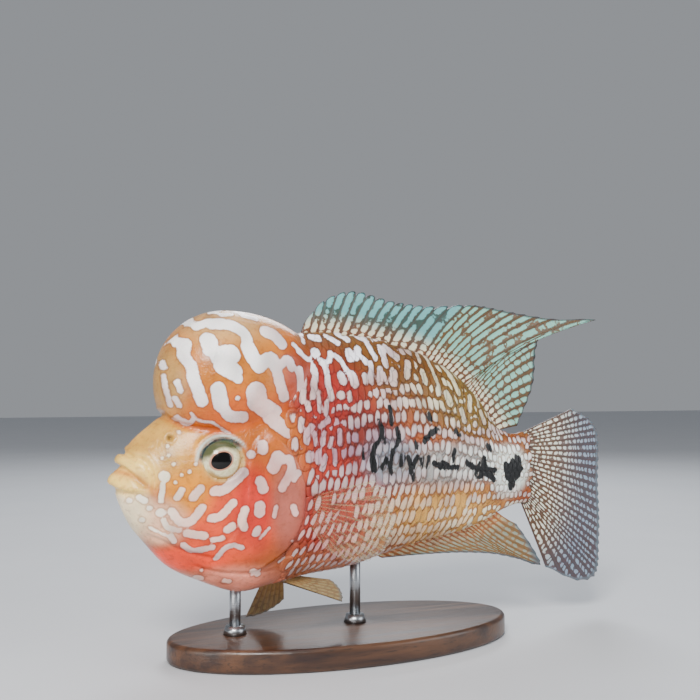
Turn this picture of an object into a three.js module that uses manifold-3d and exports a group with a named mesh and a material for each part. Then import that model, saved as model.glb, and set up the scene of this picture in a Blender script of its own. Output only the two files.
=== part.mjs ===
// A flowerhorn cichlid, 210 mm long, as a life-size display model on a small stand.
// The fish heads towards -X, its back is up (+Z), and its left side faces -Y.
// The origin is the middle of the stand's underside. Sizes are millimetres.
// Fish stations are measured along its axis, x from the lower lip at -86 to the tail fin at 123,
// and heights are measured from the axis, which passes through the eyes.

import * as THREE from "three";
import { mergeVertices } from "three/addons/utils/BufferGeometryUtils.js";
import Module from "manifold-3d";

const wasm = await Module();
wasm.setup();

// Driving sizes
const AXIS_HEIGHT = 70;
const GAP = 0.3;
const BEND_START = 20;
const BEND_RADIUS = 600;
const SNOUT_X = -85;
const STEM_END_X = 82;
const SNOUT_CAP = 7;
const STEM_CAP = 2.5;
const BACK_POWER = 1.08;
const BELLY_POWER = 0.86;
const FAR = 90;

// The body without its hump: back and belly heights, height of the widest line, and half width.
const BODY = [
  { x: -86, back: 1.0, belly: -13.5, widest: -6.5, half: 6.6 },
  { x: -81, back: 5.2, belly: -20.0, widest: -7.5, half: 8.6 },
  { x: -75, back: 10.6, belly: -27.4, widest: -9.0, half: 11.2 },
  { x: -67, back: 17.0, belly: -36.2, widest: -10.0, half: 14.3 },
  { x: -57, back: 25.0, belly: -41.6, widest: -10.0, half: 17.1 },
  { x: -42, back: 35.5, belly: -47.0, widest: -9.0, half: 19.8 },
  { x: -30, back: 42.2, belly: -45.2, widest: -7.0, half: 20.8 },
  { x: -18, back: 45.2, belly: -42.6, widest: -5.0, half: 20.6 },
  { x: 0, back: 45.2, belly: -40.6, widest: -3.0, half: 19.2 },
  { x: 16, back: 42.6, belly: -36.6, widest: -2.0, half: 16.9 },
  { x: 31, back: 38.2, belly: -33.4, widest: -2.5, half: 13.9 },
  { x: 45, back: 31.4, belly: -31.2, widest: -4.0, half: 10.8 },
  { x: 57, back: 20.8, belly: -28.2, widest: -6.0, half: 8.0 },
  { x: 66, back: 9.6, belly: -24.6, widest: -7.5, half: 6.0 },
  { x: 74, back: 6.8, belly: -22.0, widest: -7.5, half: 4.6 },
  { x: 82, back: 8.4, belly: -21.4, widest: -7.0, half: 3.4 },
];

// The nuchal hump, an egg that stands over the brow and runs back into the nape.
const HUMP = { x: -46, z: 27, front: 25.4, rear: 36, half: 20.4, height: 25.6, power: 2.06 };

const EYE = { x: -51, z: 0.3, radius: 7.4, depth: 5.6, sunk: 3.4, out: 17.6 };

// The lips are two horseshoes that meet at the corners of the mouth.
const MOUTH = { cornerX: -70.5, cornerZ: -11.2, half: 11.4 };
const UPPER_LIP = { frontX: -81.8, frontZ: 0.2, radius: 2.7, cornerLift: 1.4 };
const LOWER_LIP = { frontX: -83.6, frontZ: -6.4, radius: 2.9, cornerLift: -1.7 };

const SIDES = { left: -1, right: 1 };

// Seams on the head, seen from the side: each is a run of x, z points.
const HEAD_SEAM = [
  [-28, 62],
  [-31, 30],
  [-36.5, 12],
  [-29.5, 5],
  [-24.4, -3.4],
  [-22.8, -12],
  [-23.6, -21],
  [-27.6, -29.4],
  [-35, -35.4],
  [-43, -40],
  [-46, -62],
];
const GILL_FRONT = [
  [-38.4, 10.6],
  [-42.6, 1],
  [-43.4, -12],
  [-46.5, -23],
  [-52, -30.6],
  [-45.5, -34.4],
];
const GILL_THICK = 2.4;
const GILL_RISE = 0.8;
const JAW_SEAM = [
  [-95, 2.4],
  [-84.4, -2.4],
  [-77, -5.6],
  [-69, -12],
  [-64.6, -20],
  [-64.2, -30],
  [-67, -46],
];
const STEM_SEAM_X = 58;

const SKIN_COLOUR = "#d9703c";
const HUMP_COLOUR = "#d98a4a";
const JAW_COLOUR = "#e3c98b";
const GILL_COLOUR = "#dd6a4c";
const STEM_COLOUR = "#d9c4a0";
const FIN_COLOUR = "#8fb3a4";
const PAIRED_FIN_COLOUR = "#cfc3a2";

// Curve through a table of stations at x, by cubic pieces with central slopes.
function station(table, x, key, across = "x") {
  let i = 1;
  while (i < table.length - 2 && x > table[i + 1][across]) i++;
  if (x <= table[1][across]) i = 0;
  const [a, b] = [table[i], table[i + 1]];
  const slope = (k) => {
    const before = table[Math.max(k - 1, 0)];
    const after = table[Math.min(k + 1, table.length - 1)];
    return (after[key] - before[key]) / (after[across] - before[across]);
  };
  const span = b[across] - a[across];
  const t = Math.min(1, Math.max(0, (x - a[across]) / span));
  const [t2, t3] = [t * t, t * t * t];
  return (
    a[key] * (2 * t3 - 3 * t2 + 1) +
    b[key] * (3 * t2 - 2 * t3) +
    span * (slope(i) * (t3 - 2 * t2 + t) + slope(i + 1) * (t3 - t2))
  );
}

// Bends the axis to the fish's right behind BEND_START and lifts it to its height over the floor.
function place(x, y, z) {
  const turn = Math.max(0, x - BEND_START) / BEND_RADIUS;
  const along = x < BEND_START ? x : BEND_START + BEND_RADIUS * Math.sin(turn);
  return new THREE.Vector3(
    along - y * Math.sin(turn),
    BEND_RADIUS * (1 - Math.cos(turn)) + y * Math.cos(turn),
    z + AXIS_HEIGHT,
  );
}

const signedPower = (value, power) => Math.sign(value) * Math.abs(value) ** power;

// Half width of the body at a station and height, 0 outside its outline.
function halfWidth(x, z) {
  const widest = station(BODY, x, "widest");
  const reach = z > widest ? station(BODY, x, "back") : station(BODY, x, "belly");
  const rise = Math.min(1, Math.abs((z - widest) / (reach - widest)));
  const power = z > widest ? BACK_POWER : BELLY_POWER;
  return station(BODY, x, "half") * Math.sqrt(1 - rise * rise) ** power;
}

// A closed solid from a geometry, with its shared corners merged and its faces pointing out.
function solid(geometry) {
  const bare = geometry.index ? geometry.toNonIndexed() : geometry.clone();
  bare.deleteAttribute("normal");
  bare.deleteAttribute("uv");
  const merged = mergeVertices(bare, 1e-4);
  const corners = merged.index.array;
  const kept = [];
  for (let i = 0; i < corners.length; i += 3) {
    const [a, b, c] = corners.slice(i, i + 3);
    if (a !== b && b !== c && a !== c) kept.push(a, b, c);
  }
  const build = (order) =>
    new wasm.Manifold(
      new wasm.Mesh({
        numProp: 3,
        vertProperties: merged.attributes.position.array,
        triVerts: new Uint32Array(order),
      }),
    );
  const made = build(kept);
  return made.volume() < 0 ? build(kept.reverse()) : made;
}

// A closed form drawn over a globe: around runs 0 to 1 round it, along runs 0 to 1 from pole to pole.
function globe(rounds, rings, pointAt) {
  const form = new THREE.SphereGeometry(1, rounds, rings);
  const { position, uv } = form.attributes;
  for (let i = 0; i < position.count; i++) {
    const { x, y, z } = pointAt(uv.getX(i), 1 - uv.getY(i));
    position.setXYZ(i, x, y, z);
  }
  return solid(form);
}

// The body, grown outwards all over by a margin.
function bodyForm(grow, rounds = 40, rings = 44) {
  const start = SNOUT_X - grow;
  const end = STEM_END_X + grow;
  return globe(rounds, rings, (around, along) => {
    const x = start + (end - start) * (0.5 - 0.5 * Math.cos(Math.PI * along ** 0.94));
    const nose = Math.min(1, (x - start) / SNOUT_CAP);
    const tail = Math.min(1, (end - x) / STEM_CAP);
    const cap = Math.sqrt(Math.max(0, 1 - (1 - nose) ** 2)) * Math.sqrt(Math.max(0, 1 - (1 - tail) ** 2));
    const angle = 2 * Math.PI * around;
    const [side, up] = [Math.cos(angle), Math.sin(angle)];
    const widest = station(BODY, x, "widest");
    const reach = up > 0 ? station(BODY, x, "back") + grow - widest : widest - station(BODY, x, "belly") + grow;
    const power = up > 0 ? BACK_POWER : BELLY_POWER;
    const half = station(BODY, x, "half") + grow;
    return place(x, half * cap * signedPower(side, power), widest + reach * cap * up);
  });
}

function humpForm(grow) {
  return globe(28, 20, (around, along) => {
    const [turn, tilt] = [2 * Math.PI * around, Math.PI * (along - 0.5)];
    const round = 2 / HUMP.power;
    const level = signedPower(Math.cos(tilt), round);
    const ahead = signedPower(Math.cos(turn), round) * level;
    const reach = ahead < 0 ? HUMP.front : HUMP.rear;
    return place(
      HUMP.x + ahead * (reach + grow),
      signedPower(Math.sin(turn), round) * level * (HUMP.half + grow),
      HUMP.z + signedPower(Math.sin(tilt), round) * (HUMP.height + grow),
    );
  });
}

function eyeForm(side, grow) {
  return globe(16, 10, (around, along) => {
    const [turn, tilt] = [2 * Math.PI * around, Math.PI * along];
    return place(
      EYE.x + (EYE.radius + grow) * Math.sin(tilt) * Math.cos(turn),
      side * (EYE.out - EYE.sunk) + (EYE.depth + grow) * Math.cos(tilt),
      EYE.z + (EYE.radius + grow) * Math.sin(tilt) * Math.sin(turn),
    );
  });
}

function lipForm(lip, grow) {
  return globe(10, 22, (around, along) => {
    const across = 2 * along - 1;
    const back = across * across;
    const x = lip.frontX + (MOUTH.cornerX - lip.frontX) * back;
    const z = lip.frontZ + (MOUTH.cornerZ + lip.cornerLift - lip.frontZ) * back;
    const thick = (lip.radius + grow) * Math.sqrt(Math.max(0, 1 - across ** 6)) * (1 - 0.35 * back);
    const angle = 2 * Math.PI * around;
    const out = new THREE.Vector3(-MOUTH.half, 2 * (MOUTH.cornerX - lip.frontX) * across, 0).normalize();
    return place(
      x + out.x * thick * Math.cos(angle),
      MOUTH.half * across + out.y * thick * Math.cos(angle),
      z + thick * Math.sin(angle),
    );
  });
}

// A slab across the whole fish whose outline in side view is a closed run of points.
function prism(outline, nearY, farY) {
  const shape = new THREE.Shape(outline.map(([x, z]) => new THREE.Vector2(x, z)));
  const slab = new THREE.ExtrudeGeometry(shape, { depth: farY - nearY, bevelEnabled: false });
  slab.rotateX(Math.PI / 2);
  slab.translate(0, farY, AXIS_HEIGHT);
  return solid(slab);
}

// A smooth run through hand-set seam points.
function seam(points, steps = 22) {
  const curve = new THREE.SplineCurve(points.map(([x, z]) => new THREE.Vector2(x, z)));
  return curve.getPoints(steps).map(({ x, y }) => [x, y]);
}

// A closed outline with every side moved outwards by a margin.
function grown(outline, margin) {
  const points = outline.map(([x, z]) => new THREE.Vector2(x, z));
  const turn = Math.sign(THREE.ShapeUtils.area(points));
  return points.map((at, i) => {
    const before = at.clone().sub(points[(i + points.length - 1) % points.length]).normalize();
    const after = points[(i + 1) % points.length].clone().sub(at).normalize();
    const way = new THREE.Vector2(before.y + after.y, -before.x - after.x).normalize();
    const widen = Math.max(0.4, way.x * before.y - way.y * before.x);
    return [at.x + (turn * way.x * margin) / widen, at.y + (turn * way.y * margin) / widen];
  });
}

const HEAD_RUN = seam(HEAD_SEAM, 3 * (HEAD_SEAM.length - 1));
const HEAD_OUTLINE = [...HEAD_RUN, [-FAR * 2, -FAR], [-FAR * 2, FAR]];
const JAW_OUTLINE = [...seam(JAW_SEAM, 16), [-FAR * 2, -46], [-FAR * 2, 2.4]];
const GILL_OUTLINE = [...seam(GILL_FRONT, 10), ...HEAD_RUN.slice(6, 25).reverse()];

const headRegion = (margin) => prism(grown(HEAD_OUTLINE, margin), -FAR, FAR);

const jawRegion = (margin) => prism(grown(JAW_OUTLINE, margin), -FAR, FAR);

function gillRegion(side, margin) {
  const [nearY, farY] = side < 0 ? [-FAR, 0] : [0, FAR];
  return prism(grown(GILL_OUTLINE, margin), nearY, farY);
}

// The largest of the closed pieces that a cut has left.
function largest(made) {
  return made.decompose().sort((a, b) => b.volume() - a.volume())[0];
}

// A fin: a sheet of rays and membrane with both faces split alike, and its rays standing proud.
// finAt gives its middle surface, out 0 to 1 from root to margin, across 0 to 1 over its rays.
function fin({ rays, rows, finAt, rayHalf, webHalf = 0.28, notch = () => 0 }) {
  const columns = 2 * (rays - 1);
  const sheet = new THREE.PlaneGeometry(1, 1, columns, rows);
  const count = sheet.attributes.position.count;
  const faces = [new Float32Array(count * 3), new Float32Array(count * 3)];
  const step = 1e-3;
  for (let i = 0; i < count; i++) {
    const column = i % (columns + 1);
    const across = column / columns;
    const web = column % 2 === 1;
    const out = (Math.floor(i / (columns + 1)) / rows) * (1 - (web ? notch(across) : 0));
    const middle = finAt(across, out);
    const alongRay = finAt(across, Math.min(1, out + step)).sub(finAt(across, Math.max(0, out - step)));
    const overRays = finAt(Math.min(1, across + step), out).sub(finAt(Math.max(0, across - step), out));
    const normal = alongRay.cross(overRays).normalize();
    const half = web ? webHalf : webHalf + (rayHalf - webHalf) * (1 - out) + 0.06;
    middle.clone().addScaledVector(normal, half).toArray(faces[0], i * 3);
    middle.clone().addScaledVector(normal, -half).toArray(faces[1], i * 3);
  }
  const one = Array.from(sheet.index.array);
  const other = one.map((corner) => corner + count).reverse();
  const rim = [];
  for (let c = 0; c < columns; c++) {
    rim.push([c, c + 1], [rows * (columns + 1) + c + 1, rows * (columns + 1) + c]);
  }
  for (let r = 0; r < rows; r++) {
    rim.push([(r + 1) * (columns + 1), r * (columns + 1)]);
    rim.push([r * (columns + 1) + columns, (r + 1) * (columns + 1) + columns]);
  }
  const edge = rim.flatMap(([a, b]) => [a, b, b + count, a, b + count, a + count]);
  const made = new THREE.BufferGeometry();
  made.setAttribute("position", new THREE.BufferAttribute(new Float32Array([...faces[0], ...faces[1]]), 3));
  made.setIndex([...one, ...other, ...edge]);
  return solid(made);
}

// Where a ray of an unpaired fin runs: from its root to its tip, leaning back more towards the tip.
function rayPoint(root, tip, out, bow) {
  const knee = new THREE.Vector2(root.x + (tip.x - root.x) * (0.5 - bow), root.y + (tip.y - root.y) * (0.5 + bow));
  const near = root.clone().lerp(knee, out);
  return near.lerp(knee.clone().lerp(tip, out), out);
}

// Rays of the three unpaired fins that set their outline, from the first ray to the last.
const DORSAL = [
  { at: 0, root: -17.5, tipX: -16.2, tipZ: 49.4 },
  { at: 0.07, root: -12, tipX: -8.6, tipZ: 57.6 },
  { at: 0.18, root: -4, tipX: 3.4, tipZ: 61.7 },
  { at: 0.34, root: 9, tipX: 19.5, tipZ: 58.4 },
  { at: 0.5, root: 23, tipX: 36, tipZ: 57.0 },
  { at: 0.62, root: 34, tipX: 56, tipZ: 58.2 },
  { at: 0.72, root: 42, tipX: 78, tipZ: 55.8 },
  { at: 0.78, root: 46.5, tipX: 99, tipZ: 54.2 },
  { at: 0.815, root: 49, tipX: 122.5, tipZ: 55 },
  { at: 0.85, root: 52, tipX: 96.5, tipZ: 51 },
  { at: 0.9, root: 56, tipX: 88.4, tipZ: 43 },
  { at: 0.95, root: 61, tipX: 85.6, tipZ: 26 },
  { at: 1, root: 65.5, tipX: 77, tipZ: 9.6 },
];
const CAUDAL = [
  { at: 0, root: 6.4, tipX: 106, tipZ: 16.4 },
  { at: 0.1, root: 4.4, tipX: 118, tipZ: 11 },
  { at: 0.22, root: 1.4, tipX: 123.4, tipZ: 2.4 },
  { at: 0.45, root: -5.2, tipX: 122.2, tipZ: -19 },
  { at: 0.7, root: -12.6, tipX: 120, tipZ: -41 },
  { at: 0.87, root: -17, tipX: 118.2, tipZ: -55 },
  { at: 0.94, root: -18.8, tipX: 108, tipZ: -56 },
  { at: 1, root: -19.8, tipX: 92, tipZ: -49 },
];
const ANAL = [
  { at: 0, root: 10, tipX: 15, tipZ: -39.2 },
  { at: 0.2, root: 20, tipX: 32, tipZ: -39.0 },
  { at: 0.42, root: 31, tipX: 49, tipZ: -39.4 },
  { at: 0.6, root: 41, tipX: 65, tipZ: -41.2 },
  { at: 0.74, root: 49, tipX: 78, tipZ: -44.4 },
  { at: 0.84, root: 54, tipX: 88, tipZ: -47.4 },
  { at: 0.92, root: 59, tipX: 84, tipZ: -40 },
  { at: 1, root: 64.5, tipX: 76, tipZ: -30 },
];
const ROOT_DEPTH = 3;
const SPINY_SHARE = 0.6;

function dorsalAt(across, out) {
  const root = station(DORSAL, across, "root", "at");
  const from = new THREE.Vector2(root - 1, station(BODY, root, "back") - ROOT_DEPTH);
  const to = new THREE.Vector2(station(DORSAL, across, "tipX", "at"), station(DORSAL, across, "tipZ", "at"));
  const at = rayPoint(from, to, out, 0.16 * across);
  const sway = 0.9 * out * out * Math.sin(9 * across);
  return place(at.x, sway, at.y);
}

function caudalAt(across, out) {
  const from = new THREE.Vector2(STEM_END_X - 4, station(CAUDAL, across, "root", "at"));
  const to = new THREE.Vector2(station(CAUDAL, across, "tipX", "at"), station(CAUDAL, across, "tipZ", "at"));
  const at = rayPoint(from, to, out, 0);
  const sway = 1.6 * out * out * Math.sin(7.5 * across - 0.6);
  return place(at.x, sway, at.y);
}

function analAt(across, out) {
  const root = station(ANAL, across, "root", "at");
  const from = new THREE.Vector2(root - 1, station(BODY, root, "belly") + ROOT_DEPTH);
  const to = new THREE.Vector2(station(ANAL, across, "tipX", "at"), station(ANAL, across, "tipZ", "at"));
  const at = rayPoint(from, to, out, 0.1);
  const sway = -1.2 * out * out * Math.sin(3 * across);
  return place(at.x, sway, at.y);
}

// A paired fin fans out from a short root on the flank or belly.
// reach is its length, spread the angles of its first and last ray, flare its angle off the body.
const PECTORAL = {
  x: -21,
  z: -17,
  base: 8.5,
  reach: 31,
  spread: [16, -58],
  flare: 40,
  rays: 12,
};
const PELVIC = {
  left: { x: -29, y: 5.5, base: 6, reach: 26, spread: [-21, -7], flare: 9, rays: 6 },
  right: { x: -29, y: 5.5, base: 6, reach: 17.4, spread: [-112, -84], flare: 14, rays: 6 },
};
const PELVIC_Z = -42.6;

function pectoralAt(side, across, out) {
  const lift = PECTORAL.base * (0.5 - across);
  const angle = THREE.MathUtils.degToRad(
    PECTORAL.spread[0] + (PECTORAL.spread[1] - PECTORAL.spread[0]) * across,
  );
  const longest = 1 - 0.42 * Math.abs(2 * across - 0.72) ** 2;
  const run = out * PECTORAL.reach * longest;
  const rootZ = PECTORAL.z + lift;
  const rootY = halfWidth(PECTORAL.x, rootZ) - 1.6;
  const flare = THREE.MathUtils.degToRad(PECTORAL.flare);
  const cup = 2.2 * Math.sin(Math.PI * out) * Math.sin(Math.PI * across);
  return place(
    PECTORAL.x + run * Math.cos(angle) * Math.cos(flare),
    side * (rootY + run * Math.sin(flare) + cup),
    rootZ + run * Math.sin(angle),
  );
}

function pelvicAt(name, across, out) {
  const fan = PELVIC[name];
  const angle = THREE.MathUtils.degToRad(fan.spread[0] + (fan.spread[1] - fan.spread[0]) * across);
  const flare = THREE.MathUtils.degToRad(fan.flare);
  const longest = 1 - 0.42 * across ** 1.4;
  const run = out * fan.reach * longest;
  return place(
    fan.x + fan.base * across + run * Math.cos(angle) * Math.cos(flare),
    SIDES[name] * (fan.y - 2.2 * across + run * Math.sin(flare)),
    PELVIC_Z + run * Math.sin(angle),
  );
}

// The stand: an oval plate with a bevelled rim, and two rods that enter the breast and belly.
const STAND = { length: 132, width: 62, thick: 8, bevel: 1.6 };
const RODS = [
  { name: "stand_rod_front", x: -42, radius: 2 },
  { name: "stand_rod_rear", x: 4, radius: 2 },
];
const ROD_SUNK = 6;

function standPlate() {
  const shape = new THREE.Shape();
  const inset = STAND.bevel;
  shape.absellipse(0, 0, STAND.length / 2 - inset, STAND.width / 2 - inset, 0, 2 * Math.PI);
  const plate = new THREE.ExtrudeGeometry(shape, {
    depth: STAND.thick - 2 * inset,
    bevelEnabled: true,
    bevelThickness: inset,
    bevelSize: inset,
    bevelSegments: 2,
    curveSegments: 20,
  });
  plate.translate(0, 0, inset);
  return solid(plate);
}

function rodForm(rod, grow) {
  const low = STAND.thick + GAP - grow;
  const high = station(BODY, rod.x, "belly") + AXIS_HEIGHT + ROD_SUNK + grow;
  const cylinder = new THREE.CylinderGeometry(rod.radius + grow, rod.radius + grow, high - low, 16);
  cylinder.rotateX(Math.PI / 2);
  cylinder.translate(rod.x, 0, (low + high) / 2);
  return solid(cylinder);
}

const NOSTRIL = { x: -68.6, z: 6.6, radius: 1.1 };
function nostrilForm(side) {
  const pit = new THREE.SphereGeometry(NOSTRIL.radius, 8, 6);
  const at = place(NOSTRIL.x, side * halfWidth(NOSTRIL.x, NOSTRIL.z), NOSTRIL.z);
  pit.translate(at.x, at.y, at.z);
  return solid(pit);
}

const body = bodyForm(0);
const bodyClear = bodyForm(GAP);
const humpClear = humpForm(GAP);
const parts = new Map();

// The hump sits on the head and nape
const hump = largest(humpForm(0).subtract(bodyClear));
parts.set("nuchal_hump", [hump, HUMP_COLOUR]);

// Lips and jaw
const upperLip = lipForm(UPPER_LIP, 0);
const lowerLip = lipForm(LOWER_LIP, 0);
const lowerJaw = largest(
  body.intersect(jawRegion(0)).add(lowerLip).subtract(lipForm(UPPER_LIP, GAP)),
);
parts.set("lower_jaw", [lowerJaw, JAW_COLOUR]);

// The head is the body in front of the gill opening, less everything set into it
let head = body.intersect(headRegion(0)).subtract(jawRegion(GAP));
head = head.subtract(lipForm(UPPER_LIP, GAP)).subtract(lipForm(LOWER_LIP, GAP));
const gillInner = bodyForm(-GILL_THICK);
const gillFloor = bodyForm(-GILL_THICK - GAP);
const gillOuter = bodyForm(GILL_RISE);
for (const [name, side] of Object.entries(SIDES)) {
  const cover = gillOuter.intersect(gillRegion(side, 0)).subtract(gillInner);
  parts.set("gill_cover_" + name, [largest(cover.subtract(humpClear)), GILL_COLOUR]);
  head = head.subtract(gillRegion(side, GAP).subtract(gillFloor));
  head = head.subtract(eyeForm(side, GAP)).subtract(nostrilForm(side));
  parts.set("eye_" + name, [eyeForm(side, 0), "#e8dcae"]);
}
parts.set("head", [largest(head), SKIN_COLOUR]);
parts.set("upper_lip", [upperLip, JAW_COLOUR]);

// Trunk and tail stem
const stemCut = new THREE.BoxGeometry(2 * FAR, 2 * FAR, 2 * FAR);
stemCut.translate(STEM_SEAM_X + FAR, 0, AXIS_HEIGHT);
const stemClear = new THREE.BoxGeometry(2 * FAR, 2 * FAR, 2 * FAR);
stemClear.translate(STEM_SEAM_X + FAR - GAP, 0, AXIS_HEIGHT);
parts.set("tail_stem", [largest(body.intersect(solid(stemCut))), STEM_COLOUR]);
let trunk = body.subtract(headRegion(GAP)).subtract(solid(stemClear));
for (const rod of RODS) trunk = trunk.subtract(rodForm(rod, GAP));
parts.set("trunk", [largest(trunk), SKIN_COLOUR]);
for (const rod of RODS) {
  parts.set(rod.name, [rodForm(rod, 0), "#b9bcc0"]);
  const [form, colour] = parts.get("head");
  parts.set("head", [largest(form.subtract(rodForm(rod, GAP))), colour]);
}

// Unpaired fins
const tailFin = fin({ rays: 17, rows: 6, finAt: caudalAt, rayHalf: 0.75 });
parts.set("caudal_fin", [largest(tailFin.subtract(bodyClear)), FIN_COLOUR]);
const spiny = (across) => (across < SPINY_SHARE ? 0.09 : 0);
const backFin = fin({ rays: 28, rows: 6, finAt: dorsalAt, rayHalf: 0.7, notch: spiny });
parts.set("dorsal_fin", [largest(backFin.subtract(bodyClear).subtract(humpClear)), FIN_COLOUR]);
const ventFin = fin({ rays: 15, rows: 5, finAt: analAt, rayHalf: 0.7 });
parts.set("anal_fin", [largest(ventFin.subtract(bodyClear)), FIN_COLOUR]);

// Paired fins
for (const [name, side] of Object.entries(SIDES)) {
  const flank = fin({
    rays: PECTORAL.rays,
    rows: 5,
    finAt: (across, out) => pectoralAt(side, across, out),
    rayHalf: 0.6,
  });
  parts.set("pectoral_fin_" + name, [largest(flank.subtract(bodyClear)), PAIRED_FIN_COLOUR]);
  const breast = fin({
    rays: PELVIC[name].rays,
    rows: 5,
    finAt: (across, out) => pelvicAt(name, across, out),
    rayHalf: 0.7,
  });
  parts.set("pelvic_fin_" + name, [largest(breast.subtract(bodyClear)), PAIRED_FIN_COLOUR]);
}

parts.set("stand_base", [standPlate(), "#4a3a2c"]);

const fish = new THREE.Group();
for (const [name, [form, colour]] of parts) {
  const mesh = form.getMesh();
  const geometry = new THREE.BufferGeometry();
  geometry.setAttribute("position", new THREE.BufferAttribute(mesh.vertProperties, 3));
  geometry.setIndex(new THREE.BufferAttribute(mesh.triVerts, 1));
  const material = new THREE.MeshStandardMaterial({ color: colour, roughness: 0.35, metalness: 0 });
  const node = new THREE.Mesh(geometry, material);
  node.name = name;
  fish.add(node);
}

export default fish;
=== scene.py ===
# %% [markdown]
# # A flowerhorn cichlid on a display stand
# The model is a life-size fish, about 210 mm long, as a natural history museum shows one: cast in
# resin, painted scale by scale, varnished wet, and held over an oval base by two thin rods.
# Everything is measured in millimetres in the fish's own terms: x runs from the lips to the tail fin,
# y to the fish's right, z upwards from the axis through the eyes. One function then bends the tail
# and lifts the fish to its height, so a shape, a scale and a painted mark agree on where they are.

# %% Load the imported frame
import functools
import math

import bmesh
import bpy
import numpy as np
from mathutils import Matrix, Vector


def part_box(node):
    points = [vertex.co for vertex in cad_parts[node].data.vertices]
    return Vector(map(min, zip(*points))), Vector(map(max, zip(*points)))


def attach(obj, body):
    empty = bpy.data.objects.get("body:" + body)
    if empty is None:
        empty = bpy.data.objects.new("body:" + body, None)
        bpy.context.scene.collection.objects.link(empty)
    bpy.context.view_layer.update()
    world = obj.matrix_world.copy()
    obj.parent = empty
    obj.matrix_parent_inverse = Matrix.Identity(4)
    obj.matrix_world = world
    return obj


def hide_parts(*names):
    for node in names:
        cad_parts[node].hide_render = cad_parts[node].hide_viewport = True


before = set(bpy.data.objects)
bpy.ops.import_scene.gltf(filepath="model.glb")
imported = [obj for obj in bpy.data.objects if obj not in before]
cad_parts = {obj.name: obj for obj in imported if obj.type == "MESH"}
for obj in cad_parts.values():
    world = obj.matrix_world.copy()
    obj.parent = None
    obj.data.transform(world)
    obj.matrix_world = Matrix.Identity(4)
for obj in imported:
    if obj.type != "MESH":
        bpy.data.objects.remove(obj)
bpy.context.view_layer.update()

MM = 0.001

# %% [markdown]
# ## The fish's measures
# The body is a loft: at a few stations along the axis it has a back height, a belly height, the height
# of its widest line and a half width. A curve runs through each of them. A photograph gives the heights
# and the species gives the widths, so a table of stations is plainer here than a formula.

# %% Stations of the body
AXIS_HEIGHT = 70
BEND_START = 20
BEND_RADIUS = 600
STATION_X = np.array([-86, -81, -75, -67, -57, -42, -30, -18, 0, 16, 31, 45, 57, 66, 74, 82], float)
BACK = np.array([1, 5.2, 10.6, 17, 25, 35.5, 42.2, 45.2, 45.2, 42.6, 38.2, 31.4, 20.8, 9.6, 6.8, 8.4])
BELLY = -np.array([
    13.5, 20, 27.4, 36.2, 41.6, 47, 45.2, 42.6, 40.6, 36.6, 33.4, 31.2, 28.2, 24.6, 22, 21.4,
])
WIDEST = -np.array([6.5, 7.5, 9, 10, 10, 9, 7, 5, 3, 2, 2.5, 4, 6, 7.5, 7.5, 7])
HALF = np.array([6.6, 8.6, 11.2, 14.3, 17.1, 19.8, 20.8, 20.6, 19.2, 16.9, 13.9, 10.8, 8, 6, 4.6, 3.4])
BACK_POWER = 1.08
BELLY_POWER = 0.86
print("deepest station", BACK[8] - BELLY[8], "mm; widest", 2 * HALF.max(), "mm")


# %% Between the fish's own terms and the room
def through(stations, values, at):
    """A smooth curve through values at their stations, read at the places in at."""
    at = np.asarray(at, float)
    last = len(stations) - 1
    slopes = np.array([
        (values[min(k + 1, last)] - values[max(k - 1, 0)])
        / (stations[min(k + 1, last)] - stations[max(k - 1, 0)])
        for k in range(last + 1)
    ])
    i = np.clip(np.searchsorted(stations, at) - 1, 0, last - 1)
    span = stations[i + 1] - stations[i]
    t = np.clip((at - stations[i]) / span, 0, 1)
    rise = values[i] * (2 * t**3 - 3 * t**2 + 1) + values[i + 1] * (3 * t**2 - 2 * t**3)
    return rise + span * (slopes[i] * (t**3 - 2 * t**2 + t) + slopes[i + 1] * (t**3 - t**2))


def place(x, y, z):
    """Points of the fish in metres in the room: the tail bent to the fish's right, the axis lifted."""
    x, y, z = np.broadcast_arrays(*(np.asarray(v, float) for v in (x, y, z)))
    turn = np.maximum(0, x - BEND_START) / BEND_RADIUS
    along = np.where(x < BEND_START, x, BEND_START + BEND_RADIUS * np.sin(turn))
    side = BEND_RADIUS * (1 - np.cos(turn)) + y * np.cos(turn)
    return np.stack([along - y * np.sin(turn), side, z + AXIS_HEIGHT], -1) * MM


def unplace(points):
    """The fish's own x, y, z in millimetres of points in the room."""
    px, py, pz = (points / MM).T
    turn = np.arctan2(np.maximum(0, px - BEND_START), BEND_RADIUS - py)
    behind = px > BEND_START
    x = np.where(behind, BEND_START + BEND_RADIUS * turn, px)
    y = np.where(behind, BEND_RADIUS - np.hypot(px - BEND_START, BEND_RADIUS - py), py)
    return x, y, pz - AXIS_HEIGHT


def ease(low, high, value):
    """0 below low, 1 above high, and a soft step between."""
    t = np.clip((np.asarray(value, float) - low) / (high - low), 0, 1)
    return t * t * (3 - 2 * t)


def power(value, exponent):
    """A power that keeps the sign of the value."""
    return np.sign(value) * np.abs(value) ** exponent


def half_width(x, z):
    """Half width of the body at a station and height."""
    widest = through(STATION_X, WIDEST, x)
    above = z > widest
    reach = np.where(above, through(STATION_X, BACK, x), through(STATION_X, BELLY, x))
    rise = np.clip(np.abs((z - widest) / (reach - widest)), 0, 1)
    exponent = np.where(above, BACK_POWER, BELLY_POWER)
    return through(STATION_X, HALF, x) * np.sqrt(1 - rise**2) ** exponent


print("the tail bends aside by", round(float(place(STATION_X[-1], 0, 0)[1] / MM), 1), "mm at its stem")

# %% [markdown]
# ## The camera
# The photograph looks a little at the head from in front, about 22 degrees round from a square side
# view and 4 degrees from above, from roughly a third of a metre. Seen from so near, the head looks
# large beside the tail, so the camera goes in before any shape is judged.

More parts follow.
